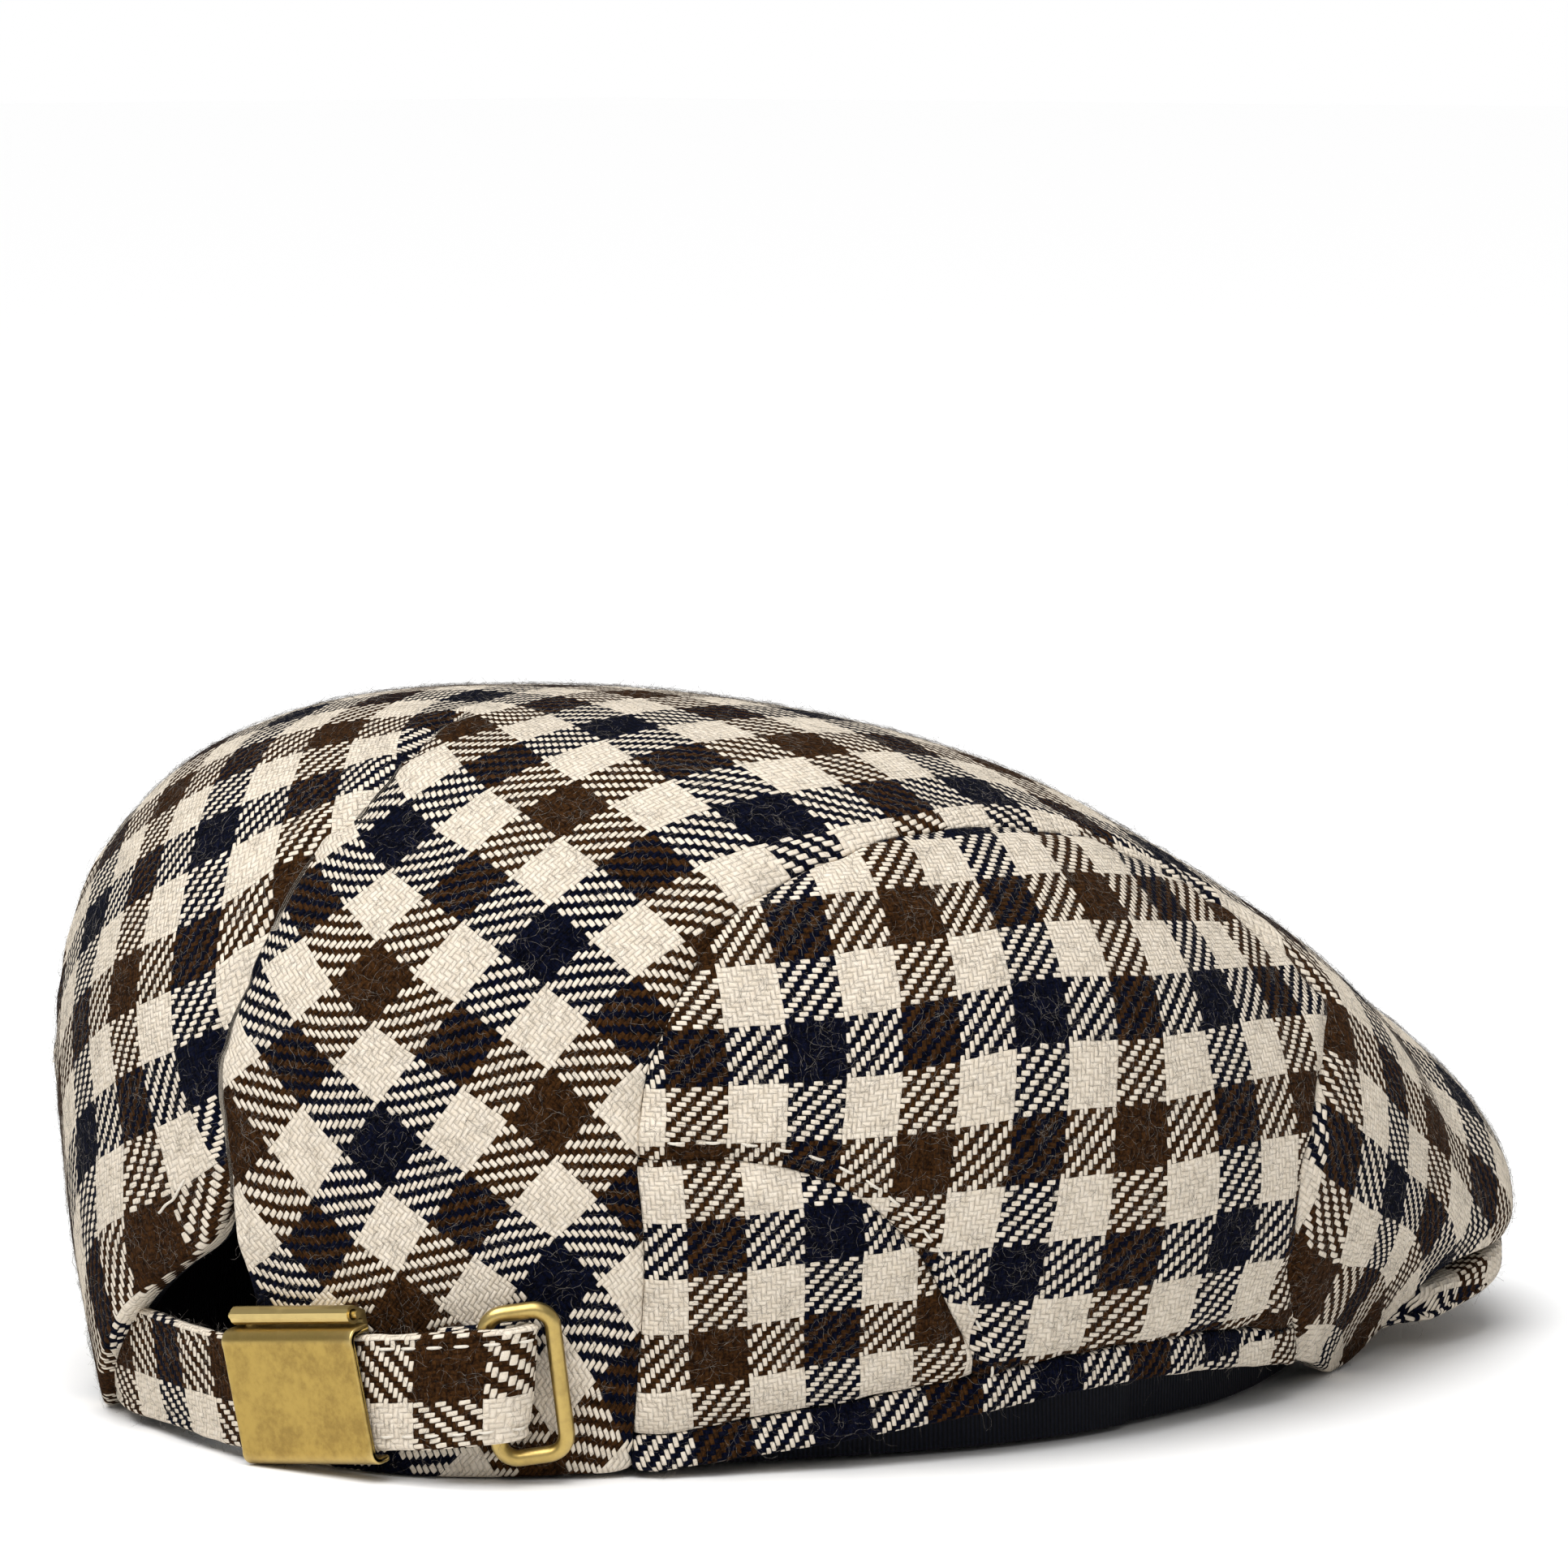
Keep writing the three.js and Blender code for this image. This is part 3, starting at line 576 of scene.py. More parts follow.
def with_rolled_edges(at, uv, triangles, radius, depth, turns=4):
    """Adds rows that turn each edge down; radius and depth have one value for each corner."""
    normals = spread_normals(at, triangles, len(at))
    slopes = pattern_slopes(at, uv, triangles)
    all_at, all_uv, all_triangles = [at], [uv], [triangles]
    total = len(at)
    for loop in edge_loops(triangles):
        n = ring_mean(normals[loop], 2)
        way = np.roll(at[loop], -1, 0) - np.roll(at[loop], 1, 0)
        out = np.cross(ring_mean(way, 1), n)
        out /= np.maximum(np.linalg.norm(out, axis=1), 1e-12)[:, None]
        n /= np.linalg.norm(n, axis=1)[:, None]
        r, low = ring_mean(radius[loop], 3)[:, None], ring_mean(depth[loop], 3)[:, None]
        slope = slopes[loop]
        before = loop
        steps = [(math.pi / 2 * k / turns, 0) for k in range(1, turns + 1)]
        for turn, share in [*steps, (math.pi / 2, 0.5), (math.pi / 2, 1)]:
            row = at[loop] + out * r * math.sin(turn) - n * (r * (1 - math.cos(turn)) + low * share)
            cloth_length = r * turn + low * share
            row_uv = uv[loop] + np.einsum("ni,nij->nj", out * cloth_length, slope)
            number = total + np.arange(len(loop))
            total += len(loop)
            all_at.append(row)
            all_uv.append(row_uv)
            a, b, c, d = before, np.roll(before, -1), np.roll(number, -1), number
            all_triangles += [np.stack([a, d, c], 1), np.stack([a, c, b], 1)]
            before = number
    return np.vstack(all_at), np.vstack(all_uv), np.vstack(all_triangles)


def mesh_object(name, at, triangles, uv=None, smooth=True):
    mesh = bpy.data.meshes.new(name)
    mesh.from_pydata(at.tolist(), [], triangles.tolist())
    if uv is not None:
        layer = mesh.uv_layers.new(name="pattern")
        loops = np.zeros(len(mesh.loops), np.int32)
        mesh.loops.foreach_get("vertex_index", loops)
        layer.uv.foreach_set("vector", uv[loops].astype(np.float32).ravel())
    if smooth:
        mesh.polygons.foreach_set("use_smooth", np.ones(len(mesh.polygons), bool))
    mesh.update()
    obj = bpy.data.objects.new(name, mesh)
    bpy.context.scene.collection.objects.link(obj)
    return obj


FLOOR_GAP = 0.05 * MM


def cloth_area(at, triangles):
    return np.linalg.norm(np.cross(at[triangles[:, 1]] - at[triangles[:, 0]],
                                   at[triangles[:, 2]] - at[triangles[:, 0]]), axis=1).sum() / 2


def cut_size(uv, triangles):
    """The smallest rectangle that a flat pattern is cut from, and the pattern's area."""
    area = np.abs(np.cross(uv[triangles[:, 1]] - uv[triangles[:, 0]],
                           uv[triangles[:, 2]] - uv[triangles[:, 0]])).sum() / 2
    sizes = []
    for turn in np.radians(np.arange(0, 90, 3)):
        c, s = math.cos(turn), math.sin(turn)
        sizes.append((np.ptp(uv @ (c, s)), np.ptp(uv @ (-s, c))))
    return min(sizes, key=math.prod), area


EDGE_BLEND = 2 * MM  # over this distance the seam's small roll becomes the hem's large one
SEAM_TURN, HEM_TURN = 1.2 * MM, 2.8 * MM  # how far the cloth goes down past its roll


class Panel:
    """A finished sheet: its object, and the corners that stitches and fibres are placed by."""

    def __init__(self, name, net, cuts, seams, node, rests_on, divisions, stands=0.0):
        for _ in range(divisions):
            net = net.divided()
        for cut in cuts:
            net = net.cut(cut(seam_facts(net)))
        facts = seam_facts(net)
        at = facts["at"] + facts["normal"] * (relief(facts, seams) + stands)[:, None]
        number = joined(facts["at"])
        first = np.unique(number, return_index=True)[1]
        triangles = number[net.triangles]
        triangles = triangles[without_slivers(triangles)]
        self.facts = {key: value[first] for key, value in facts.items()}
        self.at, self.uv, self.triangles = at[first], net.corners[first, 2:], triangles
        self.normals = spread_normals(self.at, triangles, len(first))
        from_edge = np.minimum(np.abs(self.facts["hem"]), np.abs(self.facts["arch"]))
        edge = np.clip(1 - (from_edge - HEM_ROLL) / EDGE_BLEND, 0, 1)
        radius = SEAM_ROLL + (HEM_ROLL - SEAM_ROLL) * edge
        depth = SEAM_TURN + (HEM_TURN - SEAM_TURN) * edge
        size, area = cut_size(self.uv, triangles)
        before_turning = cloth_area(self.at, triangles)
        at, uv, triangles = with_rolled_edges(self.at, self.uv, triangles, radius, depth)
        flat_area = area + cloth_area(at, triangles) - before_turning
        at[:, 2] = np.maximum(at[:, 2], FLOOR_GAP)
        self.object = mesh_object(name, at, triangles, uv)
        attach(self.object, "root")
        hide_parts(node)


MARGIN = 9 * MM


def around(net, keep):
    """The triangles with a corner where keep is true."""
    return net.kept(keep[net.triangles].any(1))


coarse = seam_facts(whole)
on_side = {"right": coarse["at"][:, 0] < -18 * MM, "left": coarse["at"][:, 0] > 18 * MM}

# %% [markdown]
# The cutter lays each pattern piece on the bolt by its grain line. Here that is done with a few
# anchors: points on the finished cap, each with the threads that cross there. The pattern is
# turned and shifted to suit them, and then eased a little, as pressed wool is.

# %% Laying the pattern on the bolt
PULL_REACH, PULL_FALL = 16 * MM, 1.6  # how an anchor's pull fades with distance
SHRINK_LIMIT, STRETCH_LIMIT = 0.8, 1.25


def uv_at(net, at, point):
    """The pattern's place under a point of the cap, from the nearest corners and their slope."""
    uv = net.corners[:, 2:]
    away = np.linalg.norm(at - point, axis=1)
    same_piece = np.linalg.norm(uv - uv[away.argmin()], axis=1) < 25 * MM
    near = np.argsort(np.where(same_piece, away, 1e9))[:10]
    step = at[near] - at[near].mean(0)
    slope = np.linalg.lstsq(step, uv[near] - uv[near].mean(0), rcond=0.02)[0]
    return uv[near].mean(0) + (point - at[near].mean(0)) @ slope


def laid_on_bolt(net, anchors):
    """Turns, shifts and eases the pattern to its anchors, which are rows of x, y, z in
    millimetres from the head's centre, and the place on the bolt in eighths of a band. Every
    place follows the anchors near it as a nearly stiff sheet."""
    anchors = np.array(anchors, float)
    points = anchors[:, :3] * MM + (0, HEAD_Y, 0)
    target = anchors[:, 3:] * EIGHTH
    at, uv = skin(*net.places()), net.corners[:, 2:].copy()
    source = np.array([uv_at(net, at, p) for p in points])
    pull = (((uv[:, None] - source[None]) ** 2).sum(2) + PULL_REACH**2) ** -PULL_FALL
    pull /= pull.sum(1)[:, None]
    from_middle, to_middle = pull @ source, pull @ target
    a = source[None] - from_middle[:, None]
    b = target[None] - to_middle[:, None]
    size = (pull * (a**2).sum(2)).sum(1)
    along = (pull * (a * b).sum(2)).sum(1) / size
    across = (pull * (a[..., 0] * b[..., 1] - a[..., 1] * b[..., 0])).sum(1) / size
    stretch = np.hypot(along, across)
    limited = np.clip(stretch, SHRINK_LIMIT, STRETCH_LIMIT) / stretch
    along, across = along * limited, across * limited
    away = uv - from_middle
    net.corners[:, 2] = away[:, 0] * along - away[:, 1] * across + to_middle[:, 0]
    net.corners[:, 3] = away[:, 0] * across + away[:, 1] * along + to_middle[:, 1]
    print("  stretched by", np.round(np.percentile(stretch * limited, (5, 50, 95)), 2))
    return net


# %% [markdown]
# The side panels, the gussets over the ears and the bands along the hem are cut in pairs. The
# left ones are the right ones turned over, with the check's own left and right kept.

# %% Side panels, gussets and hem bands
SIDE_ANCHORS = [
    (-85.5, 52.5, 44.9, 20, 20), (-96.4, 17.8, 46.5, 52, 20), (-80, 47, 80, 20, 52),
    (-91, 31.6, 67.6, 36, 36), (-78, 64, 61.5, 4, 36), (-89, 36, 28, 36, 4), (-94.5, -7, 29, 68, 4),
]
GUSSET_ANCHORS = [
    (-78.7, 61.8, 36.6, 36, 36), (-65.4, 72.3, 17.4, 20, 20), (-68.5, 75, 34, 20, 36),
    (-74.8, 59.3, 20.7, 36, 20),
]
BAND_ANCHORS = [
    (-63.7, 68.9, 4.9, 20, 4), (-76.7, 46.6, 8.9, 44, 4), (-68.4, 62.2, 7.2, 28, 4),
    (-79.8, 38.5, 9, 52, 4),
]


def on_the_left(anchors):
    """The same anchors for the other side, where the threads are counted the other way."""
    return [(-x, y, z, -u, v) for x, y, z, u, v in anchors]


panels = {}
for side in ("right", "left"):
    turned = (lambda a: a) if side == "right" else on_the_left
    here = on_side[side]
    net = laid_flat(around(whole, here & (coarse["side"] < MARGIN)))
    panels["side_" + side] = Panel(
        "cloth_side_" + side, laid_on_bolt(net, turned(SIDE_ANCHORS)),
        [lambda f: f["side"] + SEAM_OFF, lambda f: SEAM_OFF - f["band"],
         lambda f: SEAM_OFF - f["gusset"]],
        ("side", "band", "gusset"), "side_panel_" + side, "satin_side_" + side, divisions=3,
    )
    net = laid_flat(around(whole, here & (coarse["side"] < MARGIN) & (coarse["gusset"] < MARGIN)))
    panels["gusset_" + side] = Panel(
        "cloth_gusset_" + side, laid_on_bolt(net, turned(GUSSET_ANCHORS)),
        [lambda f: f["side"] + SEAM_OFF, lambda f: f["gusset"] + SEAM_OFF,
         lambda f: SEAM_OFF - f["band"]],
        ("side", "band", "gusset"), "ear_gusset_" + side, "satin_side_" + side, divisions=3,
    )
    net = laid_flat(around(whole, here & (coarse["side"] < MARGIN) & (coarse["band"] < MARGIN)))
    panels["band_" + side] = Panel(
        "cloth_band_" + side, laid_on_bolt(net, turned(BAND_ANCHORS)),
        [lambda f: f["side"] + SEAM_OFF, lambda f: f["band"] + SEAM_OFF,
         lambda f: HEM_ROLL - f["hem"]],
        ("side", "band"), "hem_band_" + side, "satin_side_" + side, divisions=3, stands=0.6 * MM,
    )

# %% [markdown]
# The top is the cap's largest piece: it runs from the hem at the back over the head and down over
# the peak. Its net is cut in two along the dart's line, and the halves are joined again in front
# of the dart, so that only the dart opens when the net is laid flat. One piece without the dart
# would lie flat too, but the check would be squeezed over the arch, which the photo doesn't show.

# %% The top, in one piece with its dart
TOP_ANCHORS = [
    # right of the dart
    (-21.9, 93.8, 88.3, 36, 36), (-47.4, 89.7, 77, 68, 36), (-30.1, 104.6, 46.8, 68, 4),
    (-26.3, 103.9, 68.6, 52, 20), (-52.4, 92, 54.7, 84, 20), (-40.8, 77.9, 93.8, 52, 52),
    (-58.2, 84.7, 69.1, 84, 36), (-53, 75.7, 88.3, 68, 52), (-21.4, 106.7, 30.2, 68, -12),
    (-33.7, 102.5, 25.4, 84, -12), (-51.9, 91.3, 32.6, 100, 4), (-40.6, 99.5, 38.3, 84, 4),
    # left of the dart
    (37.7, 96.3, 75.8, -60, 36), (16.1, 95.7, 87.6, -28, 36), (3.6, 109.9, 54.1, -28, 4),
    (29.6, 104.8, 45.4, -60, 4), (7.8, 106.6, 71.2, -28, 20), (24.4, 98, 82.3, -44, 36),
    (17.7, 108.2, 50.2, -44, 4), (21.7, 106.5, 28.4, -44, -12),
    # along the top of the side panel, and the flap in front of it
    (-72.9, 16.9, 90.3, 77, 100), (-78.3, -16.2, 77.6, 79, 131), (-87.7, -35.7, 56, 84, 148),
    (-84.9, -59.8, 38.7, 84, 176), (-91, -37.2, 38.7, 100, 148), (-86.5, -54.7, 31.8, 100, 166),
    (-82.4, -47.1, 16.3, 116, 152),
]


def beside_dart(at):
    """Distance to the left of the dart's line, which runs on over the head to the peak."""
    line = DART_LINE
    x = np.interp(at[:, 2], line[:, 2], line[:, 0])
    x = np.where(at[:, 1] > DART_END[1], x, DART_END[0])
    return at[:, 0] - x


top = around(whole, (coarse["side"] > -MARGIN) & (coarse["arch"] > -MARGIN))
past_dart = beside_dart(skin(*top.places()))
left, right = top.cut(-past_dart), top.cut(past_dart)
top = Net(
    np.vstack([left.corners, right.corners]),
    np.vstack([left.triangles, right.triangles + len(left.corners)]),
)
half = np.repeat([0, 1], [len(left.corners), len(right.corners)])
top_at = skin(*top.places())
open_dart = np.where(top_at[:, 1] > DART_END[1] + 0.5 * MM, half, 0)
top = laid_on_bolt(laid_flat(top, open_dart), TOP_ANCHORS)
panels["top"] = Panel(
    "cloth_top", top,
    [lambda f: SEAM_OFF - f["side"], lambda f: HEM_ROLL - f["arch"], lambda f: SEAM_OFF - f["dart"],
     lambda f: HEM_ROLL - f["hem"]],
    ("side", "dart"), "top_panel", "satin_top", divisions=2,
)

# %% [markdown]
# The peak is a board between two pieces of the same cloth. Its upper side lies under the top's
# flap, so only the edge and the under side show. The two pieces meet in a seam along the lower
# corner of the edge. A rounded box would give the board, but not the two pieces' own patterns.

# %% Peak
PEAK_TIP, PEAK_START, PEAK_ARCH, PEAK_THICKNESS = 0.139, -2.46, 0.00095, 5.6
PEAK_INNER_A, PEAK_INNER_B, PEAK_INNER_FROM = 82, 97, 63
PEAK_CORNER_INSET = 3
PEAK_EDGE = 1.7  # the radius of its edge's corners
PEAK_COLUMNS = 221
PEAK_WAVE, PEAK_WAVE_SIZE = 0.12 * MM, 9 * MM
PEAK_ON_BOLT = (4.5, 9)  # where its middle lies, in eighths of a band


def peak_under(x, y):
    return PEAK_START - PEAK_TIP * y - PEAK_ARCH * x**2


def peak_rows():
    """Rows of corners in millimetres from the inner edge over the top, round and back under, with
    each corner's place on the flat pattern."""
    across = np.linspace(-1, 1, PEAK_COLUMNS)
    f = 1 - np.abs(across)
    side = np.where(across < 0, -1, 1)
    place = CORNER + (LAST - CORNER) * f
    angle = math.asin(PEAK_INNER_FROM / PEAK_INNER_B) * (1 - f) + math.pi / 2 * f
    inner = np.stack([PEAK_INNER_A * np.cos(angle), -PEAK_INNER_B * np.sin(angle)], 1)
    c, n = columns_at(place), outwards_at(place)
    inset = PEAK_CORNER_INSET * (1 - np.clip((place - CORNER - 0.85) * 5, 0, 1))[:, None]
    outer = np.stack([c["edge_x"], c["edge_y"]], 1) - n * (inset + 0.3)
    mirror = np.stack([side, np.ones(len(side))], 1)
    inner, outer = inner * mirror, outer * mirror
    out = outer - inner
    out /= np.linalg.norm(out, axis=1)[:, None]
    start = outer - out * PEAK_EDGE
    rows = []
    for s in np.linspace(0, 1, 14):
        p = inner + (start - inner) * s
        rows.append((p, np.full(len(p), PEAK_THICKNESS), p))
    for turn in np.linspace(0, math.pi / 2, 6)[1:]:
        p = start + out * PEAK_EDGE * math.sin(turn)
        low = PEAK_THICKNESS - PEAK_EDGE * (1 - math.cos(turn))
        rows.append((p, np.full(len(p), low), start + out * PEAK_EDGE * turn))
    length = PEAK_EDGE * math.pi / 2
    for low in (PEAK_THICKNESS / 2, PEAK_EDGE):
        on_pattern = start + out * (length + PEAK_THICKNESS - PEAK_EDGE - low)
        rows.append((outer, np.full(len(p), low), on_pattern))
    under = []
    for turn in np.linspace(math.pi / 2, 0, 6):
        p = start + out * (PEAK_EDGE * math.sin(turn) - 0.25 * (turn > 1.5))
        rise = np.full(len(p), PEAK_EDGE * (1 - math.cos(turn)))
        under.append((p, rise, start + out * PEAK_EDGE * turn))
    for s in np.linspace(1, 0, 14)[1:]:
        p = inner + (start - inner) * s
        under.append((p, np.zeros(len(p)), p))
    return rows, under


def sheet_of_rows(rows, closed=False):
    """Triangles between rows of equal length, numbered row by row."""
    count, length = rows
    number = np.arange(count * length).reshape(count, length)
    if closed:
        number = np.concatenate([number, number[:, :1]], 1)
    a, b, c, d = number[:-1, :-1], number[1:, :-1], number[1:, 1:], number[:-1, 1:]
    return np.stack([a, b, c, a, c, d], -1).reshape(-1, 3)


over, under = peak_rows()
peak_at, peak_uv, peak_triangles, total = [], [], [], 0
for rows, flip in ((over, 1), (under, -1)):
    plan = np.array([r[0] for r in rows]).reshape(-1, 2)
    up = np.array([r[1] for r in rows]).ravel()
    flat = np.array([r[2] for r in rows]).reshape(-1, 2)
    at = np.column_stack([plan, peak_under(plan[:, 0], plan[:, 1]) + up]) * MM + (0, HEAD_Y, 0)
    peak_at.append(at)
    peak_uv.append(flat * (flip, 1) * MM + np.array(PEAK_ON_BOLT) * EIGHTH)
    peak_triangles.append(sheet_of_rows((len(rows), PEAK_COLUMNS)) + total)
    total += len(at)
peak_at, peak_uv, peak_triangles = map(np.vstack, (peak_at, peak_uv, peak_triangles))
for end in (0, PEAK_COLUMNS - 1):
    ring = np.arange(end, total, PEAK_COLUMNS)
    fan = np.stack([np.full(len(ring) - 2, ring[0]), ring[1:-1], ring[2:]], 1)
    peak_triangles = np.vstack([peak_triangles, fan if end == 0 else fan[:, ::-1]])
peak_triangles = peak_triangles[:, ::-1]
peak_normals = spread_normals(peak_at, peak_triangles, len(peak_at))
wave = soft_noise(peak_at, PEAK_WAVE_SIZE, 21)[:, None] * peak_normals
peak = mesh_object("cloth_peak", peak_at + PEAK_WAVE * wave, peak_triangles, peak_uv)
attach(peak, "root")
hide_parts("peak")
size, area = cut_size(peak_uv[: len(over) * PEAK_COLUMNS], sheet_of_rows((len(over), PEAK_COLUMNS)))
print("peak:", len(peak_triangles), "triangles")

# %% [markdown]
# Inside, the lining is sewn of the same three pieces as the crown, a little smaller, from a
# slippery black satin. Its lower edge turns out and meets the cloth's own turned edge. The same
# nets serve for it, only set further in, with the slack folds that a hanging satin has. Giving
# the cloth a thickness instead would leave the inside as stiff as the outside.

# %% Lining
LINING_INSET, LINING_RISE_BACK, LINING_RISE_FRONT, ARCH_IN_LINING = 5.2, 6, -5, 5
HEAD_OVAL = (79.5, 94.5)
SATIN_SLACK, SATIN_SET_IN, SATIN_ROLL = 0.6 * MM, 0.4, 0.6 * MM
UPRIGHT_FOLDS = (1, 1, 0.3)  # folds beside a seam run up and down


def lining_skin(place, down):
    """The lining's surface: inside the crown, raised at the back, within the head's oval in front."""
    forward = np.clip(np.abs(place) - CORNER, 0, 1)
    rise = LINING_RISE_BACK + (LINING_RISE_FRONT - LINING_RISE_BACK) * forward
    at = skin(place, down, LINING_INSET, rise)
    head = (at - (0, HEAD_Y, 0)) / MM
    size = np.hypot(head[:, 0] / HEAD_OVAL[0], head[:, 1] / HEAD_OVAL[1])
    size = np.where((size > 1) & (head[:, 1] < 0), size, 1)
    at[:, :2] = head[:, :2] / size[:, None] * MM + (0, HEAD_Y)
    return at


def lining_piece(name, keep, cuts, replaces):
    net = laid_flat(around(whole, keep))
    for _ in range(2):
        net = net.divided()
    for cut in cuts:
        net = net.cut(cut(seam_facts(net)))
    facts = seam_facts(net)
    place, down = net.places()
    at = lining_skin(place, down)
    number = joined(at)
    first = np.unique(number, return_index=True)[1]
    triangles = number[net.triangles]
    triangles = triangles[without_slivers(triangles)][:, ::-1]
    at, d = at[first], np.abs(facts["side"][first])
    normals = spread_normals(at, triangles, len(at))
    slack = 0.7 * soft_noise(at, 26 * MM, 31) + 0.3 * soft_noise(at, 9 * MM, 32)
    slack += 0.35 * soft_noise(at * UPRIGHT_FOLDS, 5 * MM, 33) * np.exp(-d / (6 * MM))
    at = at + normals * (slack - SATIN_SET_IN)[:, None] * SATIN_SLACK
    edge = np.full(len(at), SATIN_ROLL)
    size, area = cut_size(net.corners[first, 2:], triangles)
    at, uv, triangles = with_rolled_edges(at, net.corners[first, 2:], triangles, edge, 2.2 * edge)
    piece = mesh_object(name, at, triangles, uv)
    print(f"{name}: cut {size[0] / MM:.0f} by {size[1] / MM:.0f} mm, {area / MM**2 / 100:.0f} square cm")
    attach(piece, "root")
    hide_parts(replaces)
    print(f"{name}: {len(triangles)} triangles")
    return piece


LINING_SEAM = 0.5 * MM
lining = [lining_piece(
    "satin_top", (coarse["side"] > -MARGIN) & (coarse["arch"] > -MARGIN),
    [lambda f: LINING_SEAM - f["side"], lambda f: ARCH_IN_LINING * MM - f["arch"]], "lining_top",
)]
for side in ("right", "left"):
    lining.append(lining_piece(
        "satin_side_" + side, on_side[side] & (coarse["side"] < MARGIN),
        [lambda f: f["side"] + LINING_SEAM], "lining_side_" + side,
    ))

# %% [markdown]
# Round the inside runs a dark band of the ribbed tape, from one side of the arch round the front to
# the other. It is shaped as a sweatband, but it hangs from the lining's lower edge to below the hem,
# nearly to the floor: a dark sheet that stands in for the shade under the raised hem, so the raised
# hem looks dark from outside. A longer lining would do the same, but would be too short in front.

# %% Shade band under the hem
BAND_FROM, BAND_TO = 0.6, -1.9  # in sections, from one side of the arch to the other
BAND_FOOT, BAND_HIGH, BAND_BELOW = 0.9, 13, 8  # millimetres over the floor, over and under the hem
BAND_SET_IN, BAND_WAVE, BAND_WAVE_SIZE = 1.2 * MM, 0.35 * MM, 11 * MM
MIDDLE_GAP = 0.03
places = np.concatenate([
    np.linspace(BAND_FROM, LAST - MIDDLE_GAP, 150), np.linspace(MIDDLE_GAP - LAST, BAND_TO, 130),
])
hem_z = np.maximum(0, columns_at(places)["edge_z"])
rows = []
for share in np.linspace(0, 1, 9):
    at = lining_skin(places, np.full(len(places), 2.0))
    low = np.maximum(BAND_FOOT, hem_z - BAND_BELOW)
    at[:, 2] = (low + (hem_z + BAND_HIGH - low) * share) * MM
    towards = np.array((0, HEAD_Y, 0)) - at
    towards[:, 2] = 0
    towards /= np.linalg.norm(towards, axis=1)[:, None]
    at += towards * (BAND_SET_IN + BAND_WAVE * soft_noise(at, BAND_WAVE_SIZE, 61))[:, None]
    rows.append(at)
length = length_along(rows[0])
band_uv = np.stack([np.tile(length, len(rows)), np.vstack(rows)[:, 2]], 1)
band_triangles = sheet_of_rows((len(rows), len(places)))
shade_band = mesh_object("painted_shade_band", np.vstack(rows), band_triangles, band_uv)
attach(shade_band, "root")
flat = np.ptp(band_uv[:, 1]), length[-1]
area = cloth_area(np.vstack(rows), band_triangles)
print("sweatband:", round(length[-1] / MM), "mm long")

# %% [markdown]
# The strap and the brass lie along the hem at the back. Their places are given as a run along the
# hem, a height and a way out, and a search along the skin finds the point. Snapping them to the
# skin with a modifier would also do, but a function serves the strap, the buckle and the thread.

# %% Along the hem
ALONG_PER_ROW = 31.5
STRAP_WIDTH, STRAP_THICKNESS, STRAP_HEIGHT, STRAP_CLIMB, STRAP_CLIMB_FROM = 17, 2.2, 10.2, 0.12, 5
STRAP_ROUTE = [
    (-50, -3.65), (-36, -3.65), (-25, -3.65), (-17, -2.3), (-6, 1), (4, 3.2), (11, 3.1), (17.8, 3),
    (25, 3.5), (31.5, 4.7), (37, 6.1), (42, 6.9),
]
FOLD_ALONG, FOLD_OUT, FOLD_RADIUS, STRAP_END = 46, 4.3, 2.85, 37
HALVINGS = 22


def by_the_hem(along, height, out):
    """Points near the back of the crown: along the hem to the wearer's right, up, and out, in mm."""
    along, height, out = (a.ravel() for a in np.broadcast_arrays(*map(np.asarray, (along, height, out))))
    place = along / ALONG_PER_ROW
    low, high = np.full(len(place), 1.0), np.full(len(place), 2.0)
    for _ in range(HALVINGS):
        middle = (low + high) / 2
        above = skin(place, middle)[:, 2] > height * MM
        low, high = np.where(above, middle, low), np.where(above, high, middle)
    at = skin(place, low)
    n = outwards_at(place)
    n[:, 0] *= np.where(place > 0, -1, 1)
    at[:, :2] += n * out[:, None] * MM
    at[:, 2] = height * MM
    return at


def strap_height(along):
    return STRAP_HEIGHT + STRAP_CLIMB * np.maximum(0, along - STRAP_CLIMB_FROM)


# %% [markdown]
# The strap leaves the left of the arch, crosses it behind the buckle, and goes through the ring,
# where it folds back under itself. It is a flat tube of cloth, stitched along both edges, and cut
# with its length across the bolt, so its twill leans the other way. A curve with a bevel would
# give the tube, but not the flat pattern that its check needs.

# %% Strap
STRAP_CORNER, STRAP_STEPS, FACE_STEPS = 1.0, 330, 28
STITCH_LINE, STITCH_DIP, STITCH_DIP_WIDE, STRAP_PAD = 6.6, 0.28, 0.55, 0.12
STRAP_ON_BOLT = (25.2, 4.1)


def resampled(line, count, closed=False):
    """The line with its corners evenly spaced, and the run up to each."""
    if closed:
        line = np.vstack([line, line[:1]])
    run = length_along(line)
    even = np.linspace(0, run[-1], count, endpoint=not closed)
    return np.stack([np.interp(even, run, line[:, k]) for k in (0, 1)], 1), even, run[-1]


def facing_out(at, triangles, middles):
    """The triangles, turned so that they face away from the middles."""
    out = (spread_normals(at, triangles, len(at)) * (at - middles)).sum() > 0
    return triangles if out else triangles[:, ::-1]


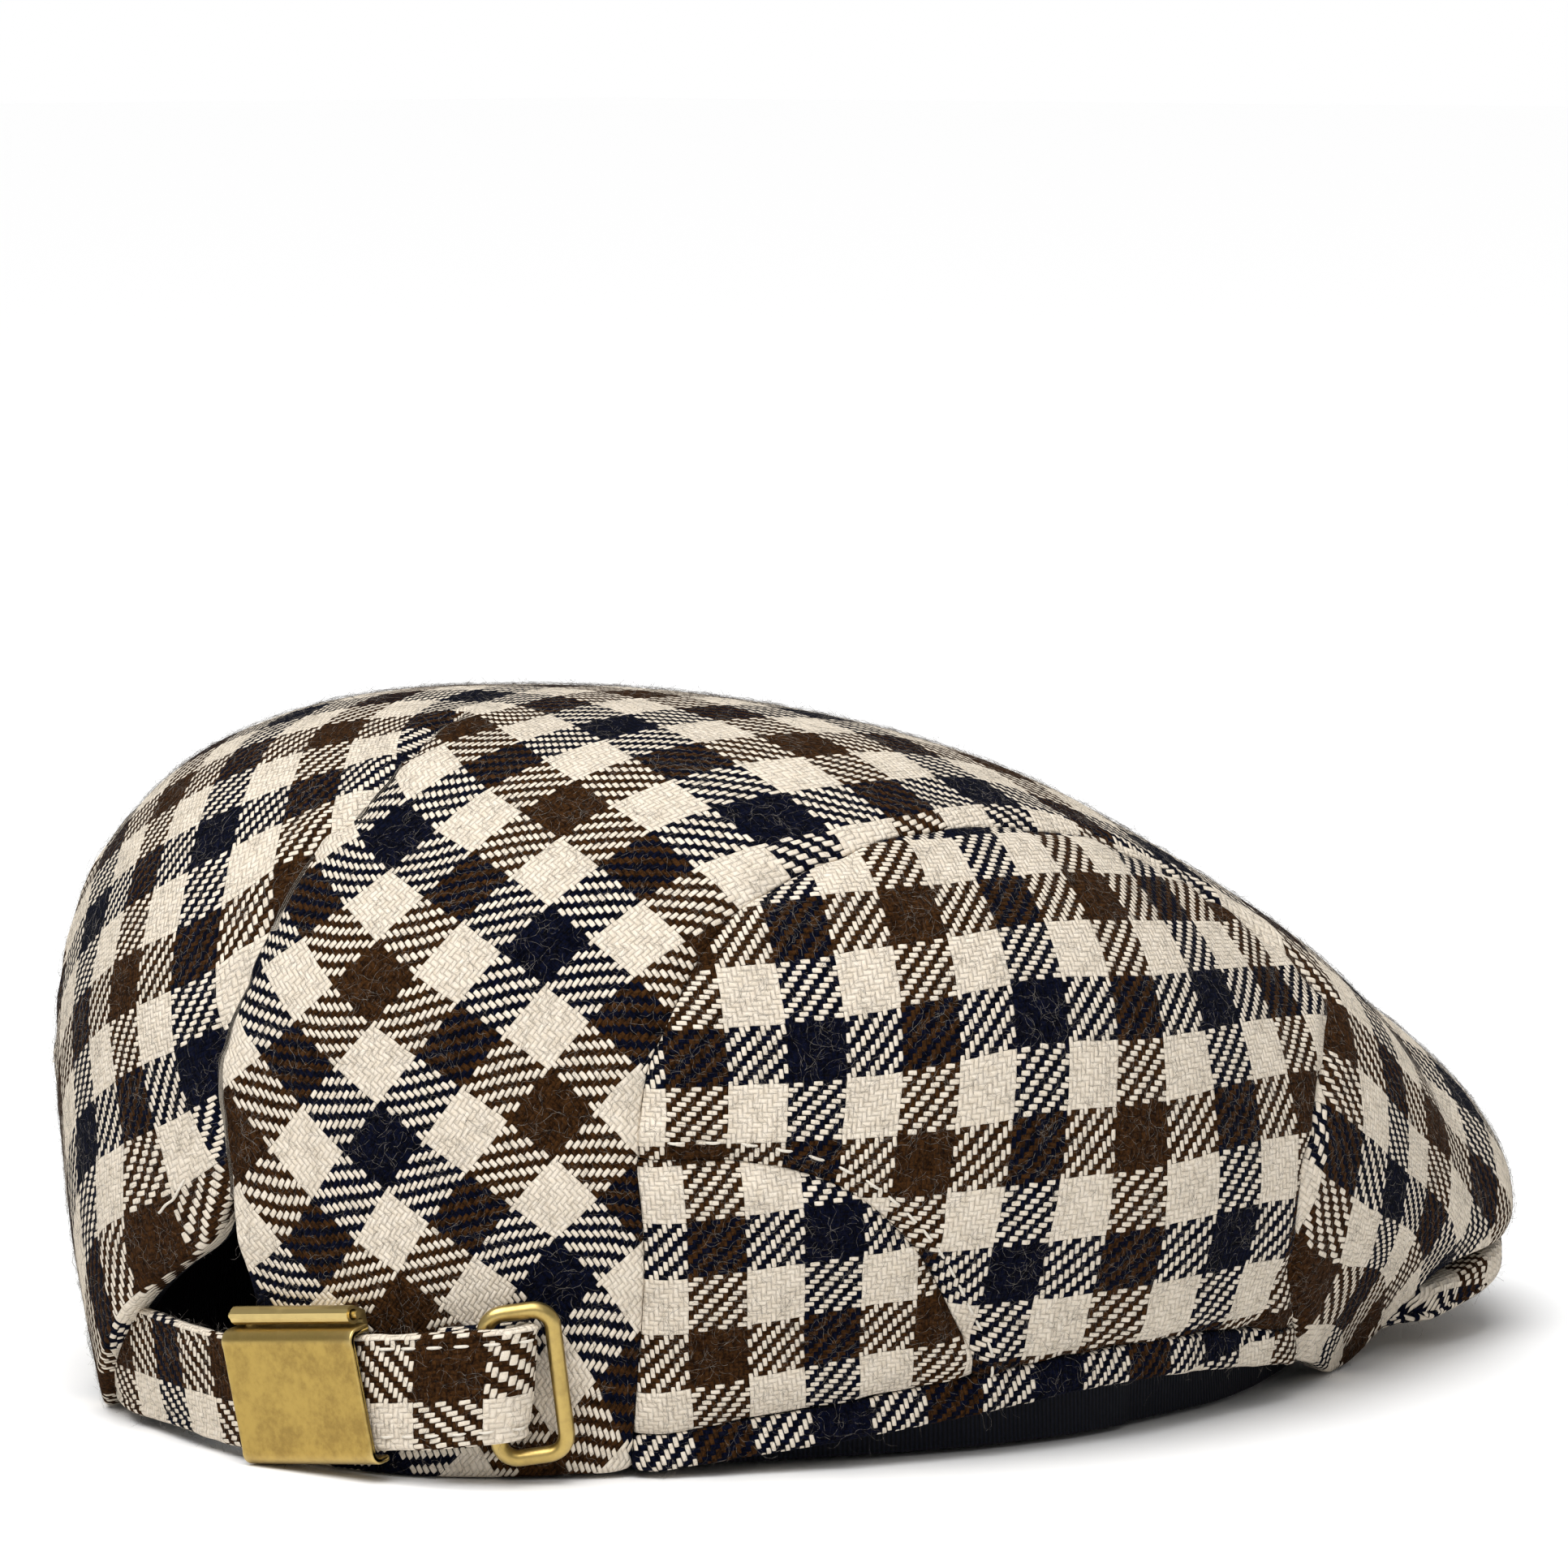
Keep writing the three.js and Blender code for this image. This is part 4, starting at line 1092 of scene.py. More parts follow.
def strap_section():
    """Corners of the flat tube's section: across its face, and through its thickness."""
    half_w, half_t = STRAP_WIDTH / 2 - STRAP_CORNER, STRAP_THICKNESS / 2 - STRAP_CORNER
    section = []
    for quarter, cx, cy in ((0, 1, 1), (1, -1, 1), (2, -1, -1), (3, 1, -1)):
        for k in range(6):
            angle = math.pi / 2 * (quarter + k / 5)
            section.append((half_w * cx + STRAP_CORNER * math.cos(angle),
                            half_t * cy + STRAP_CORNER * math.sin(angle)))
        if quarter in (0, 2):
            end, reach = section[-1], -2 * half_w * cx
            section += [(end[0] + reach * f, end[1]) for f in np.linspace(0, 1, FACE_STEPS)[1:-1]]
    return np.array(section)


turn = np.linspace(math.pi / 2, -math.pi / 2, 25)
fold = np.stack([FOLD_ALONG + FOLD_RADIUS * np.cos(turn), FOLD_OUT + FOLD_RADIUS * np.sin(turn)], 1)
tail = np.linspace(fold[-1], (STRAP_END, fold[-1, 1]), 14)[1:]
route = np.vstack([smooth_run(STRAP_ROUTE, 14), fold[1:], tail])
strap_line, even, strap_length = resampled(route, STRAP_STEPS)
way = np.gradient(strap_line, axis=0)
way /= np.linalg.norm(way, axis=1)[:, None]
section = strap_section()
around_section = length_along(section)
stitched = STITCH_DIP * np.exp(-(((np.abs(section[:, 0]) - STITCH_LINE) / STITCH_DIP_WIDE) ** 2))
pad = STRAP_PAD * np.cos(section[:, 0] / STRAP_WIDTH * math.pi)
depth = np.sign(section[:, 1]) * (np.abs(section[:, 1]) - stitched + pad)
strap_at = by_the_hem(
    strap_line[:, :1] - way[:, 1:] * depth[None],
    strap_height(strap_line[:, :1]) + section[:, 0][None],
    strap_line[:, 1:] + way[:, :1] * depth[None],
)
strap_uv = np.stack(np.broadcast_arrays(-around_section[None], -even[:, None]), -1).reshape(-1, 2)
strap_uv = strap_uv * MM + np.array(STRAP_ON_BOLT) * EIGHTH
shape = (len(strap_line), len(section))
ends = []
for row in (0, shape[0] - 1):
    ring = np.arange(shape[1]) + row * shape[1]
    fan = np.stack([np.full(len(ring) - 2, ring[0]), ring[1:-1], ring[2:]], 1)
    ends.append(fan if row else fan[:, ::-1])
strap_triangles = np.vstack([sheet_of_rows(shape, closed=True), *ends])
middles = np.repeat(strap_at.reshape(*shape, 3).mean(1), shape[1], 0)
strap_triangles = facing_out(strap_at, strap_triangles, middles)
strap_normals = spread_normals(strap_at, strap_triangles, len(strap_at))
bumps = 0.14 * soft_noise(strap_at, 3.6 * MM, 41) + 0.1 * soft_noise(strap_at, 11 * MM, 42)
strap = mesh_object(
    "cloth_strap", strap_at + strap_normals * bumps[:, None] * MM, strap_triangles, strap_uv,
)
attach(strap, "root")
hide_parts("strap")
print("strap:", round(strap_length), "mm of it,", len(strap_triangles), "triangles")

# %% [markdown]
# The buckle is pressed brass: a plain plate bent round the strap's edges, a body behind it with a
# hinge pin along the top, and a wire ring that the strap's end turns through. Each lies on the
# crown in its own frame, leaning as the strap does. The body and the pin are carried over from
# the frame. The plate is made anew, with soft bends and rounded ends that catch the light, where
# a bevel modifier would round its long edges as much as its ends. Its face is left bare.

# %% The buckle's plate
TILT = 0.11
BUCKLE = {
    "along": 17.8, "height": 11.9, "length": 25.4, "inside": 18, "sheet": 1, "face": 4.8,
    "lip_top": 3, "lip_foot": 2.2, "bend": 0.9,
}
PLATE_EDGE, PLATE_DISH = 0.28, 0.12  # the rounding of its ends, and how hollow its face is


def fitting_axes(along, height):
    """Origin and axes, along the strap, up and out, of a fitting that lies on the crown."""
    def point(a, h):
        return by_the_hem([a], [h], [0.0])[0]
    run = point(along + 5, height) - point(along - 5, height)
    up = point(along, height + 6) - point(along, height - 6)
    run /= np.linalg.norm(run)
    out = np.cross(run, up)
    out /= np.linalg.norm(out)
    up = np.cross(out, run)
    c, s = math.cos(TILT), math.sin(TILT)
    return point(along, height), np.array([c * run + s * up, c * up - s * run, out])


def in_fitting(points, piece):
    origin, axes = fitting_axes(piece["along"], piece["height"])
    return origin + np.asarray(points) * MM @ axes


def arc(cx, cy, radius, start, end, steps=7):
    turn = np.radians(np.linspace(start, end, steps))
    return [(cx + radius * math.cos(t), cy + radius * math.sin(t)) for t in turn]


def plate_profile():
    """The plate's section, as up and out: along its inner side, and back along its outer side."""
    half, sheet, face, bend = (BUCKLE[k] for k in ("inside", "sheet", "face", "bend"))
    half = half / 2
    top, foot = face - BUCKLE["lip_top"], face - BUCKLE["lip_foot"]
    inner = [(half, top), (half, face - bend)] + arc(half - bend, face - bend, bend, 0, 90)
    inner += [(x, face) for x in np.linspace(half - bend, -half + bend, 22)[1:-1]]
    inner += arc(-half + bend, face - bend, bend, 90, 180) + [(-half, foot)]
    outer = arc(-half - sheet / 2, foot, sheet / 2, 0, -180, 7)[1:]
    outer += arc(-half + bend, face - bend, bend + sheet, 180, 90)
    outer += [(x, face + sheet) for x in np.linspace(-half + bend, half - bend, 22)[1:-1]]
    outer += arc(half - bend, face - bend, bend + sheet, 90, 0)
    return np.array(inner + outer + arc(half + sheet / 2, top, sheet / 2, 0, -180, 7)[:-1])


def plate_stations():
    """Places along the plate, and how much smaller its section is there, to round its ends."""
    half = BUCKLE["length"] / 2
    turns = np.linspace(0, math.pi / 2, 5)
    end = [(-half + PLATE_EDGE * (1 - math.cos(t)), PLATE_EDGE * (1 - math.sin(t))) for t in turns]
    middle = [(x, 0.0) for x in np.linspace(PLATE_EDGE - half, half - PLATE_EDGE, 40)[1:-1]]
    return end + middle + [(-x, smaller) for x, smaller in end[::-1]]


profile = plate_profile()
before, after = np.roll(profile, 1, 0), np.roll(profile, -1, 0)
facing = np.stack([after[:, 1] - before[:, 1], before[:, 0] - after[:, 0]], 1)
facing /= np.maximum(np.linalg.norm(facing, axis=1), 1e-9)[:, None]
if (facing * (profile - profile.mean(0))).sum() < 0:
    facing = -facing
on_face = np.abs(profile[:, 0]) < 8
plate_points = []
for x, smaller in plate_stations():
    dish = PLATE_DISH * (2 * x / BUCKLE["length"]) ** 2
    outline = profile - facing * smaller
    across, out = outline[:, 0], outline[:, 1] - dish * on_face
    plate_points.append(np.column_stack([np.full(len(outline), x), across, out]))
count, length = len(plate_points), len(profile)
plate_at = in_fitting(np.vstack(plate_points), BUCKLE)
caps = []
for row in (0, count - 1):
    a = row * length + np.arange(length // 2 - 1)
    c = row * length + length - 1 - np.arange(length // 2 - 1)
    strip = np.stack([a, a + 1, c - 1, a, c - 1, c], 1).reshape(-1, 3)
    caps.append(strip if row else strip[:, ::-1])
plate_triangles = np.vstack([sheet_of_rows((count, length), closed=True), *caps])
plate_triangles = facing_out(plate_at, plate_triangles, plate_at.mean(0))
plate = mesh_object("brass_plate", plate_at, plate_triangles)
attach(plate, "root")
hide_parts("buckle_plate")
print("plate:", BUCKLE["length"], "mm long,", len(plate_triangles), "triangles")

# %% [markdown]
# The ring that the strap turns through is bent from round wire. Its outline is a rectangle with
# round corners, and a circle is carried round it. A bevelled curve would give the same tube, but
# here its few faces are made directly, in the fitting's own leaning frame.

# %% The ring
RING = {
    "along": 48.6, "height": 15.5, "wide": 9.6, "tall": 21.6, "corner": 2.8, "wire": 1.2,
    "out": 3.5, "tip": 0.12,
}
RING_STEPS, RING_SIDES = 120, 20

bends = []
for quarter, (sx, sy) in enumerate(((1, 1), (-1, 1), (-1, -1), (1, -1))):
    for k in range(9):
        turn = math.pi / 2 * (quarter + k / 8)
        bends.append((sx * (RING["wide"] / 2 - RING["corner"]) + RING["corner"] * math.cos(turn),
                      sy * (RING["tall"] / 2 - RING["corner"]) + RING["corner"] * math.sin(turn)))
line = resampled(np.array(bends), RING_STEPS, closed=True)[0]
way = np.roll(line, -1, 0) - np.roll(line, 1, 0)
way /= np.linalg.norm(way, axis=1)[:, None]
sides = np.linspace(0, 2 * math.pi, RING_SIDES, endpoint=False)
across = RING["wire"] * np.cos(sides)[None]
x = line[:, :1] + across * way[:, 1:]
y = line[:, 1:] - across * way[:, :1]
z = RING["out"] - RING["tip"] * x + RING["wire"] * np.sin(sides)[None]
ring_at = in_fitting(np.stack([x, y, z], -1).reshape(-1, 3), RING)
grid = np.arange(RING_STEPS * RING_SIDES).reshape(RING_STEPS, RING_SIDES)
grid = np.column_stack([grid, grid[:, :1]])
grid = np.vstack([grid, grid[:1]])
p, q, r, s = grid[:-1, :-1], grid[1:, :-1], grid[1:, 1:], grid[:-1, 1:]
ring_triangles = np.stack([p, q, r, p, r, s], -1).reshape(-1, 3)
middles = np.repeat(ring_at.reshape(RING_STEPS, RING_SIDES, 3).mean(1), RING_SIDES, 0)
ring_triangles = facing_out(ring_at, ring_triangles, middles)
ring = mesh_object("brass_ring", ring_at, ring_triangles)
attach(ring, "root")
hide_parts("strap_ring")
print("ring:", RING["wide"], "by", RING["tall"], "mm,", len(ring_triangles), "triangles")

# %% [markdown]
# Inside the arch the cloth's turned edge is bound with a ribbed navy tape. It lies against the
# cloth's edge, goes straight in and turns back over the lining. It is swept along the edge of
# the finished top, so it keeps to the edge wherever the seams and folds have moved it.

# %% The arch's binding
TAPE_RIB = 0.75 * MM
ON_ARCH = 1.7 * MM  # the top's edge is the arch's within this distance
TAPE_SECTION = np.array([
    (0.7, 2.9), (1.0, 3.5), (1.0, 4.8), (0.6, 5.9), (-0.6, 6.7), (-2.4, 7.0), (-6.4, 7.0),
])  # millimetres into the arch, and down from the cloth's face
BACK_HALF = 50 * MM


def runs_along_arch(panel):
    """Stretches of the panel's edge that lie along the arch."""
    runs = []
    for loop in edge_loops(panel.triangles):
        near = np.abs(panel.facts["arch"][loop]) < ON_ARCH
        near &= panel.at[loop, 1] > HEAD_Y + BACK_HALF
        for first in np.flatnonzero(near & ~np.roll(near, 1)):
            run = []
            while near[(first + len(run)) % len(loop)] and len(run) < len(loop):
                run.append(loop[(first + len(run)) % len(loop)])
            if len(run) > 8:
                runs.append(np.array(run))
    return runs


bindings = []
for number, run in enumerate(runs_along_arch(panels["top"])):
    at, n = panels["top"].at[run], panels["top"].normals[run]
    for _ in range(6):
        at[1:-1] = (at[:-2] + 2 * at[1:-1] + at[2:]) / 4
        n[1:-1] = (n[:-2] + 2 * n[1:-1] + n[2:]) / 4
    way = np.gradient(at, axis=0)
    out = np.cross(way, n)
    out /= np.linalg.norm(out, axis=1)[:, None]
    n /= np.linalg.norm(n, axis=1)[:, None]
    length, wide = length_along(at), length_along(TAPE_SECTION * MM)
    rows = [at + out * o * MM - n * low * MM for o, low in TAPE_SECTION]
    uv = np.stack(np.broadcast_arrays(length[None], wide[:, None]), -1).reshape(-1, 2)
    triangles = sheet_of_rows((len(rows), len(at)))[:, ::-1]
    binding = mesh_object(f"tape_arch_{number}", np.vstack(rows), triangles, uv)
    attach(binding, "root")
    bindings.append(binding)
    print("binding", number, round(length[-1] / MM), "mm long")

# %% [markdown]
# Thick cream thread shows where the panels are topstitched: beside the gusset's curve, behind the
# side seam and near the strap's fold. Each stitch is a small rounded bead of thread whose ends dip
# into the cloth. One loose end of thread lies beside the arch. Painted stitches would be less
# work, but they catch no light. Places are found by the seams' own numbers, so they follow them.

# %% Stitches
STITCH_LONG, STITCH_THICK, STITCH_STEP = 2.7 * MM, 0.46 * MM, 3.7 * MM
STITCH_PROUD, ENDS_DIP = 0.3 * MM, 0.45 * MM
STITCH_SEARCH, ENOUGH_CLOTH = 0.7 * MM, 0.4
FROM_GUSSET, FROM_SIDE_SEAM = 2.6 * MM, 2.8 * MM
GUSSET_RUN, REAR_RUN, TOP_RUN = (4, 104), (26, 56), (88, 102)  # millimetres along the seams
FOLD_ROWS = range(235, 290, 10)  # the strap's rows near its fold that carry stitches


def beside_seam(panel, seam, away, run_of_stitches):
    """Places beside a seam, each as its middle, its way along the seam and its normal."""
    d, along = panel.facts[seam], panel.facts[seam + "_along"]

    def cloth_at(run):
        weight = np.exp(-(((d - away) ** 2 + (along - run) ** 2) / STITCH_SEARCH**2))
        total = max(weight.sum(), 1e-9)
        return weight @ panel.at / total, weight @ panel.normals / total, total

    found = []
    for run in np.arange(*run_of_stitches, STITCH_STEP / MM) * MM:
        (at, n, total), ahead, behind = cloth_at(run), cloth_at(run + MM), cloth_at(run - MM)
        if min(total, ahead[2], behind[2]) > ENOUGH_CLOTH:
            found.append((at, ahead[0] - behind[0], n))
    return found


def beads(places, rings=7, sides=6):
    """All the stitches as one set of corners and triangles."""
    all_at, all_triangles = [], []
    for at, way, n in places:
        way = way / np.linalg.norm(way)
        n = n - way * (n @ way)
        n /= np.linalg.norm(n)
        across = np.cross(way, n)
        x = np.linspace(-1, 1, rings)
        thick = STITCH_THICK / 2 * np.sqrt(1 - 0.94 * x**4)
        turn = np.linspace(0, 2 * math.pi, sides, endpoint=False)
        ring = (across * np.cos(turn)[:, None] + n * np.sin(turn)[:, None])
        middle = at + way * x[:, None] * STITCH_LONG / 2
        middle += n * (STITCH_PROUD - ENDS_DIP * x**2)[:, None]
        base = len(all_at) * rings * sides
        all_at.append((middle[:, None] + thick[:, None, None] * ring[None]).reshape(-1, 3))
        grid = np.arange(rings * sides).reshape(rings, sides) + base
        grid = np.column_stack([grid, grid[:, :1]])
        p, q, r, s = grid[:-1, :-1], grid[1:, :-1], grid[1:, 1:], grid[:-1, 1:]
        all_triangles.append(np.stack([p, r, q, p, s, r], -1).reshape(-1, 3))
    return np.vstack(all_at), np.vstack(all_triangles)


stitches = []
for side in ("right", "left"):
    stitches += beside_seam(panels["side_" + side], "gusset", FROM_GUSSET, GUSSET_RUN)
for seam_run in (REAR_RUN, TOP_RUN):
    stitches += beside_seam(panels["top"], "side", FROM_SIDE_SEAM, seam_run)
strap_grid, normal_grid = strap_at.reshape(*shape, 3), strap_normals.reshape(*shape, 3)
for edge in (-STITCH_LINE, STITCH_LINE):
    on_outer_face = section[:, 1] > 0
    column = np.argmin(np.abs(section[:, 0] - edge) + STRAP_WIDTH * ~on_outer_face)
    for row in FOLD_ROWS:
        along = strap_grid[row + 2, column] - strap_grid[row - 2, column]
        stitches.append((strap_grid[row, column], along, normal_grid[row, column]))
stitch_at, stitch_triangles = beads(stitches)

# Along the hem, up and out, in millimetres
LOOSE_THREAD = np.array([
    (-11, 34.6, 0.4), (-9.6, 35, 1.2), (-8, 36.2, 1.5), (-6.6, 37.2, 1.2), (-5.2, 38.8, 1.3),
    (-4.2, 40.4, 0.9),
])
LOOSE_THICK, LOOSE_SIDES = 0.42 * MM, 6
loose = smooth_run(by_the_hem(*LOOSE_THREAD.T), 6)
way = np.gradient(loose, axis=0)
way /= np.linalg.norm(way, axis=1)[:, None]
sideways = np.cross(way, (0.3, 0.2, 0.9))
sideways /= np.linalg.norm(sideways, axis=1)[:, None]
thick = np.full(len(loose), LOOSE_THICK / 2)
thick[[0, -1]] *= 0.3
turn = np.linspace(0, 2 * math.pi, LOOSE_SIDES, endpoint=False)[None, :, None]
ring_of_thread = sideways[:, None] * np.cos(turn) + np.cross(way, sideways)[:, None] * np.sin(turn)
tube = (loose[:, None] + thick[:, None, None] * ring_of_thread).reshape(-1, 3)
tube_triangles = sheet_of_rows((len(loose), LOOSE_SIDES), closed=True) + len(stitch_at)
stitching = mesh_object(
    "thread_stitches", np.vstack([stitch_at, tube]), np.vstack([stitch_triangles, tube_triangles]),
)
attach(stitching, "root")
print(len(stitches), "stitches,", len(stitch_triangles), "triangles")

# %% [markdown]
# Woollen cloth is never quite clean of loose fibres. They lie on it in small loops and stand off
# it at the outline. Each is a thin ribbon: most start and end in the cloth, and some stand free.
# Blender's hair would grow them too, but ribbons are plain meshes that every export keeps.

# %% Fibres
FIBRE_POINTS, FREE_SHARE = 6, 0.25
FREE_LONG, LAID_LONG = (1.2, 2.8), (1.8, 5.5)  # millimetres, for fibres that stand free or lie
FREE_HIGH, LAID_HIGH, LOWEST = (0.4, 1.15), (0.1, 0.42), 0.05
HALF_WIDTH = (0.010, 0.019)


def stray_fibres(name, sheets, count, seed):
    """Ribbons strewn over sheets, each given as its corners, triangles and normals."""
    rng = np.random.default_rng(seed)
    starts = np.cumsum([0] + [len(at) for at, _, _ in sheets])
    corners, normals = np.vstack([at for at, _, _ in sheets]), np.vstack([n for _, _, n in sheets])
    triangles = np.vstack([tri + start for (_, tri, _), start in zip(sheets, starts)])
    a, b, c = (corners[triangles[:, k]] for k in range(3))
    area = np.linalg.norm(np.cross(b - a, c - a), axis=1)
    pick = rng.choice(len(triangles), count, p=area / area.sum())
    f, g = rng.random(count), rng.random(count)
    f, g = np.where(f + g > 1, 1 - f, f)[:, None], np.where(f + g > 1, 1 - g, g)[:, None]
    start = a[pick] + (b - a)[pick] * f + (c - a)[pick] * g
    n = normals[triangles[pick, 0]]
    across = np.cross(n, rng.normal(size=(count, 3)))
    across /= np.linalg.norm(across, axis=1)[:, None]
    other = np.cross(n, across)
    free = rng.random(count) < FREE_SHARE
    length = np.where(free, rng.uniform(*FREE_LONG, count), rng.uniform(*LAID_LONG, count)) * MM
    high = np.where(free, rng.uniform(*FREE_HIGH, count), rng.uniform(*LAID_HIGH, count)) * MM
    s = np.linspace(0, 1, FIBRE_POINTS)[:, None]
    heading = rng.normal(0, 1.5, count) * s
    heading += 0.6 * np.sin(2 * math.pi * (s * rng.uniform(0.5, 1.3, count) + rng.random(count)))
    step = length / (FIBRE_POINTS - 1)
    x = np.cumsum(np.cos(heading) * step, 0) - np.cos(heading[:1]) * step
    y = np.cumsum(np.sin(heading) * step, 0) - np.sin(heading[:1]) * step
    z = high * np.where(free, s**1.4, np.sin(math.pi * s)) + LOWEST * MM
    line = start + x[..., None] * across + y[..., None] * other + z[..., None] * n
    way = np.gradient(line, axis=0)
    side = np.cross(way, n + 0.8 * rng.normal(size=(count, 3)))
    side /= np.maximum(np.linalg.norm(side, axis=2), 1e-12)[..., None]
    half = rng.uniform(*HALF_WIDTH, count)[:, None] * MM
    at = np.stack([line - side * half, line + side * half], 2).transpose(1, 0, 2, 3).reshape(-1, 3)
    number = (np.arange(count) * FIBRE_POINTS * 2)[:, None] + np.arange(FIBRE_POINTS - 1)[None] * 2
    number = number.reshape(-1, 1)
    ribbon = np.vstack([number + (0, 1, 3), number + (0, 3, 2)])
    at[:, 2] = np.maximum(at[:, 2], FLOOR_GAP)
    piece = mesh_object(name, at, ribbon)
    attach(piece, "root")
    print(name, len(ribbon), "triangles")
    return piece


def bare(panel):
    return panel.at, panel.triangles, panel.normals


side_sheets = [bare(panel) for key, panel in panels.items() if key != "top"]
strap_and_peak = [
    (strap_at, strap_triangles, strap_normals), (peak_at, peak_triangles, peak_normals),
]
fibres = [
    stray_fibres("fibres_top", [bare(panels["top"])], 19000, 51),
    stray_fibres("fibres_top_more", [bare(panels["top"])], 12000, 54),
    stray_fibres("fibres_sides", side_sheets, 13000, 52),
    stray_fibres("fibres_strap_and_peak", strap_and_peak, 6000, 53),
]

# %% [markdown]
# Materials are node trees. A small helper lets a tree be written as arithmetic, so that the
# count of threads reads as a count. The same trees could be wired by hand in the editor, but a
# weave needs some sixty nodes, and its numbers come from the ones at the top.

# %% A helper for node trees


class Tree:
    """A material's node tree, with short calls for its common nodes."""

    def __init__(self, name):
        self.material = bpy.data.materials.new(name)
        self.material.use_nodes = True
        self.nodes, self.links = self.material.node_tree.nodes, self.material.node_tree.links
        self.shader = self.nodes["Principled BSDF"]

    def node(self, kind, inputs=(), **settings):
        made = self.nodes.new(kind)
        for key, value in settings.items():
            setattr(made, key, value)
        for socket, value in dict(inputs).items():
            self.put(made.inputs[socket], value)
        return made

    def put(self, socket, value):
        if isinstance(value, Value):
            value = value.socket
        if isinstance(value, bpy.types.NodeSocket):
            self.links.new(value, socket)
        else:
            socket.default_value = value

    def math(self, operation, *values):
        made = self.node("ShaderNodeMath", operation=operation)
        for socket, value in zip(made.inputs, values):
            self.put(socket, value)
        return Value(self, made.outputs[0])

    def mix(self, share, a, b):
        made = self.node("ShaderNodeMix", data_type="RGBA")
        self.put(made.inputs[0], share)
        for socket, value in ((made.inputs[6], a), (made.inputs[7], b)):
            self.put(socket, (*value, 1) if isinstance(value, tuple) and len(value) == 3 else value)
        return Value(self, made.outputs[2])

    def noise(self, where, scale, detail=2.0, rough=0.5, distort=0.0):
        made = self.node("ShaderNodeTexNoise", {"Vector": where, "Scale": scale, "Detail": detail,
                                                "Roughness": rough, "Distortion": distort})
        return Value(self, made.outputs["Fac"])

    def point(self, x, y, z=0.0):
        return Value(self, self.node("ShaderNodeCombineXYZ", {"X": x, "Y": y, "Z": z}).outputs[0])

    def object_place(self):
        return Value(self, self.node("ShaderNodeTexCoord").outputs["Object"])

    def pattern_place(self):
        """The place on the flat pattern, in metres, as two values."""
        flat = self.node("ShaderNodeUVMap", uv_map="pattern").outputs[0]
        parts = self.node("ShaderNodeSeparateXYZ", {"Vector": flat})
        return Value(self, parts.outputs[0]), Value(self, parts.outputs[1])

    def step(self, value, low, high):
        """A smooth rise from 0 to 1 as the value goes from low to high."""
        made = self.node("ShaderNodeMapRange", {"Value": value, "From Min": low, "From Max": high},
                         interpolation_type="SMOOTHSTEP")
        return Value(self, made.outputs[0])

    def bump(self, height, distance, strength=1.0, under=None):
        made = self.node("ShaderNodeBump", {"Height": height, "Distance": distance, "Strength": strength})
        if under is not None:
            self.put(made.inputs["Normal"], under)
        return Value(self, made.outputs[0])


class Value:
    """A number or colour inside a tree; arithmetic on it adds math nodes."""

    def __init__(self, tree, socket):
        self.tree, self.socket = tree, socket

    def __add__(self, other):
        return self.tree.math("ADD", self, other)

    def __sub__(self, other):
        return self.tree.math("SUBTRACT", self, other)

    def __mul__(self, other):
        return self.tree.math("MULTIPLY", self, other)

    def __truediv__(self, other):
        return self.tree.math("DIVIDE", self, other)

    def __rsub__(self, other):
        return self.tree.math("SUBTRACT", other, self)

    def __lt__(self, other):
        return self.tree.math("LESS_THAN", self, other)

    __radd__, __rmul__ = __add__, __mul__


# %% [markdown]
# The cloth's colour follows its threads. Each thread of the warp and the weft has its colour from
# the count, and the two-and-two twill says which of them lies on top at each crossing. Over the
# threads go heathered fibres and pale stray hairs, and painted shade darkens the crevices between
# the threads.

# %% Checked wool
# Each wool's darkest and palest fibres
NAVY = (0.0005, 0.0006, 0.0016), (0.0032, 0.0048, 0.0165)
BROWN = (0.0075, 0.0030, 0.0012), (0.061, 0.0255, 0.0075)
CREAM = (0.67, 0.58, 0.46), (0.80, 0.72, 0.61)
# The crevice colour is painted shade between the threads; the stray hair colour is the wool's own
CREVICE_SHADE, STRAY_HAIR = (0.002, 0.0014, 0.0013), (0.62, 0.53, 0.42)
UNEVEN = 0.7  # how far threads wander from their places, in threads
THREAD_LEAN = 0.25
FUZZ_HIGH, WEAVE_HIGH, HAIR_HIGH = 0.09 * MM, 0.24 * MM, 0.08 * MM
SHOWS_BENEATH, HAIR_SHOWS = 0.92, 0.012


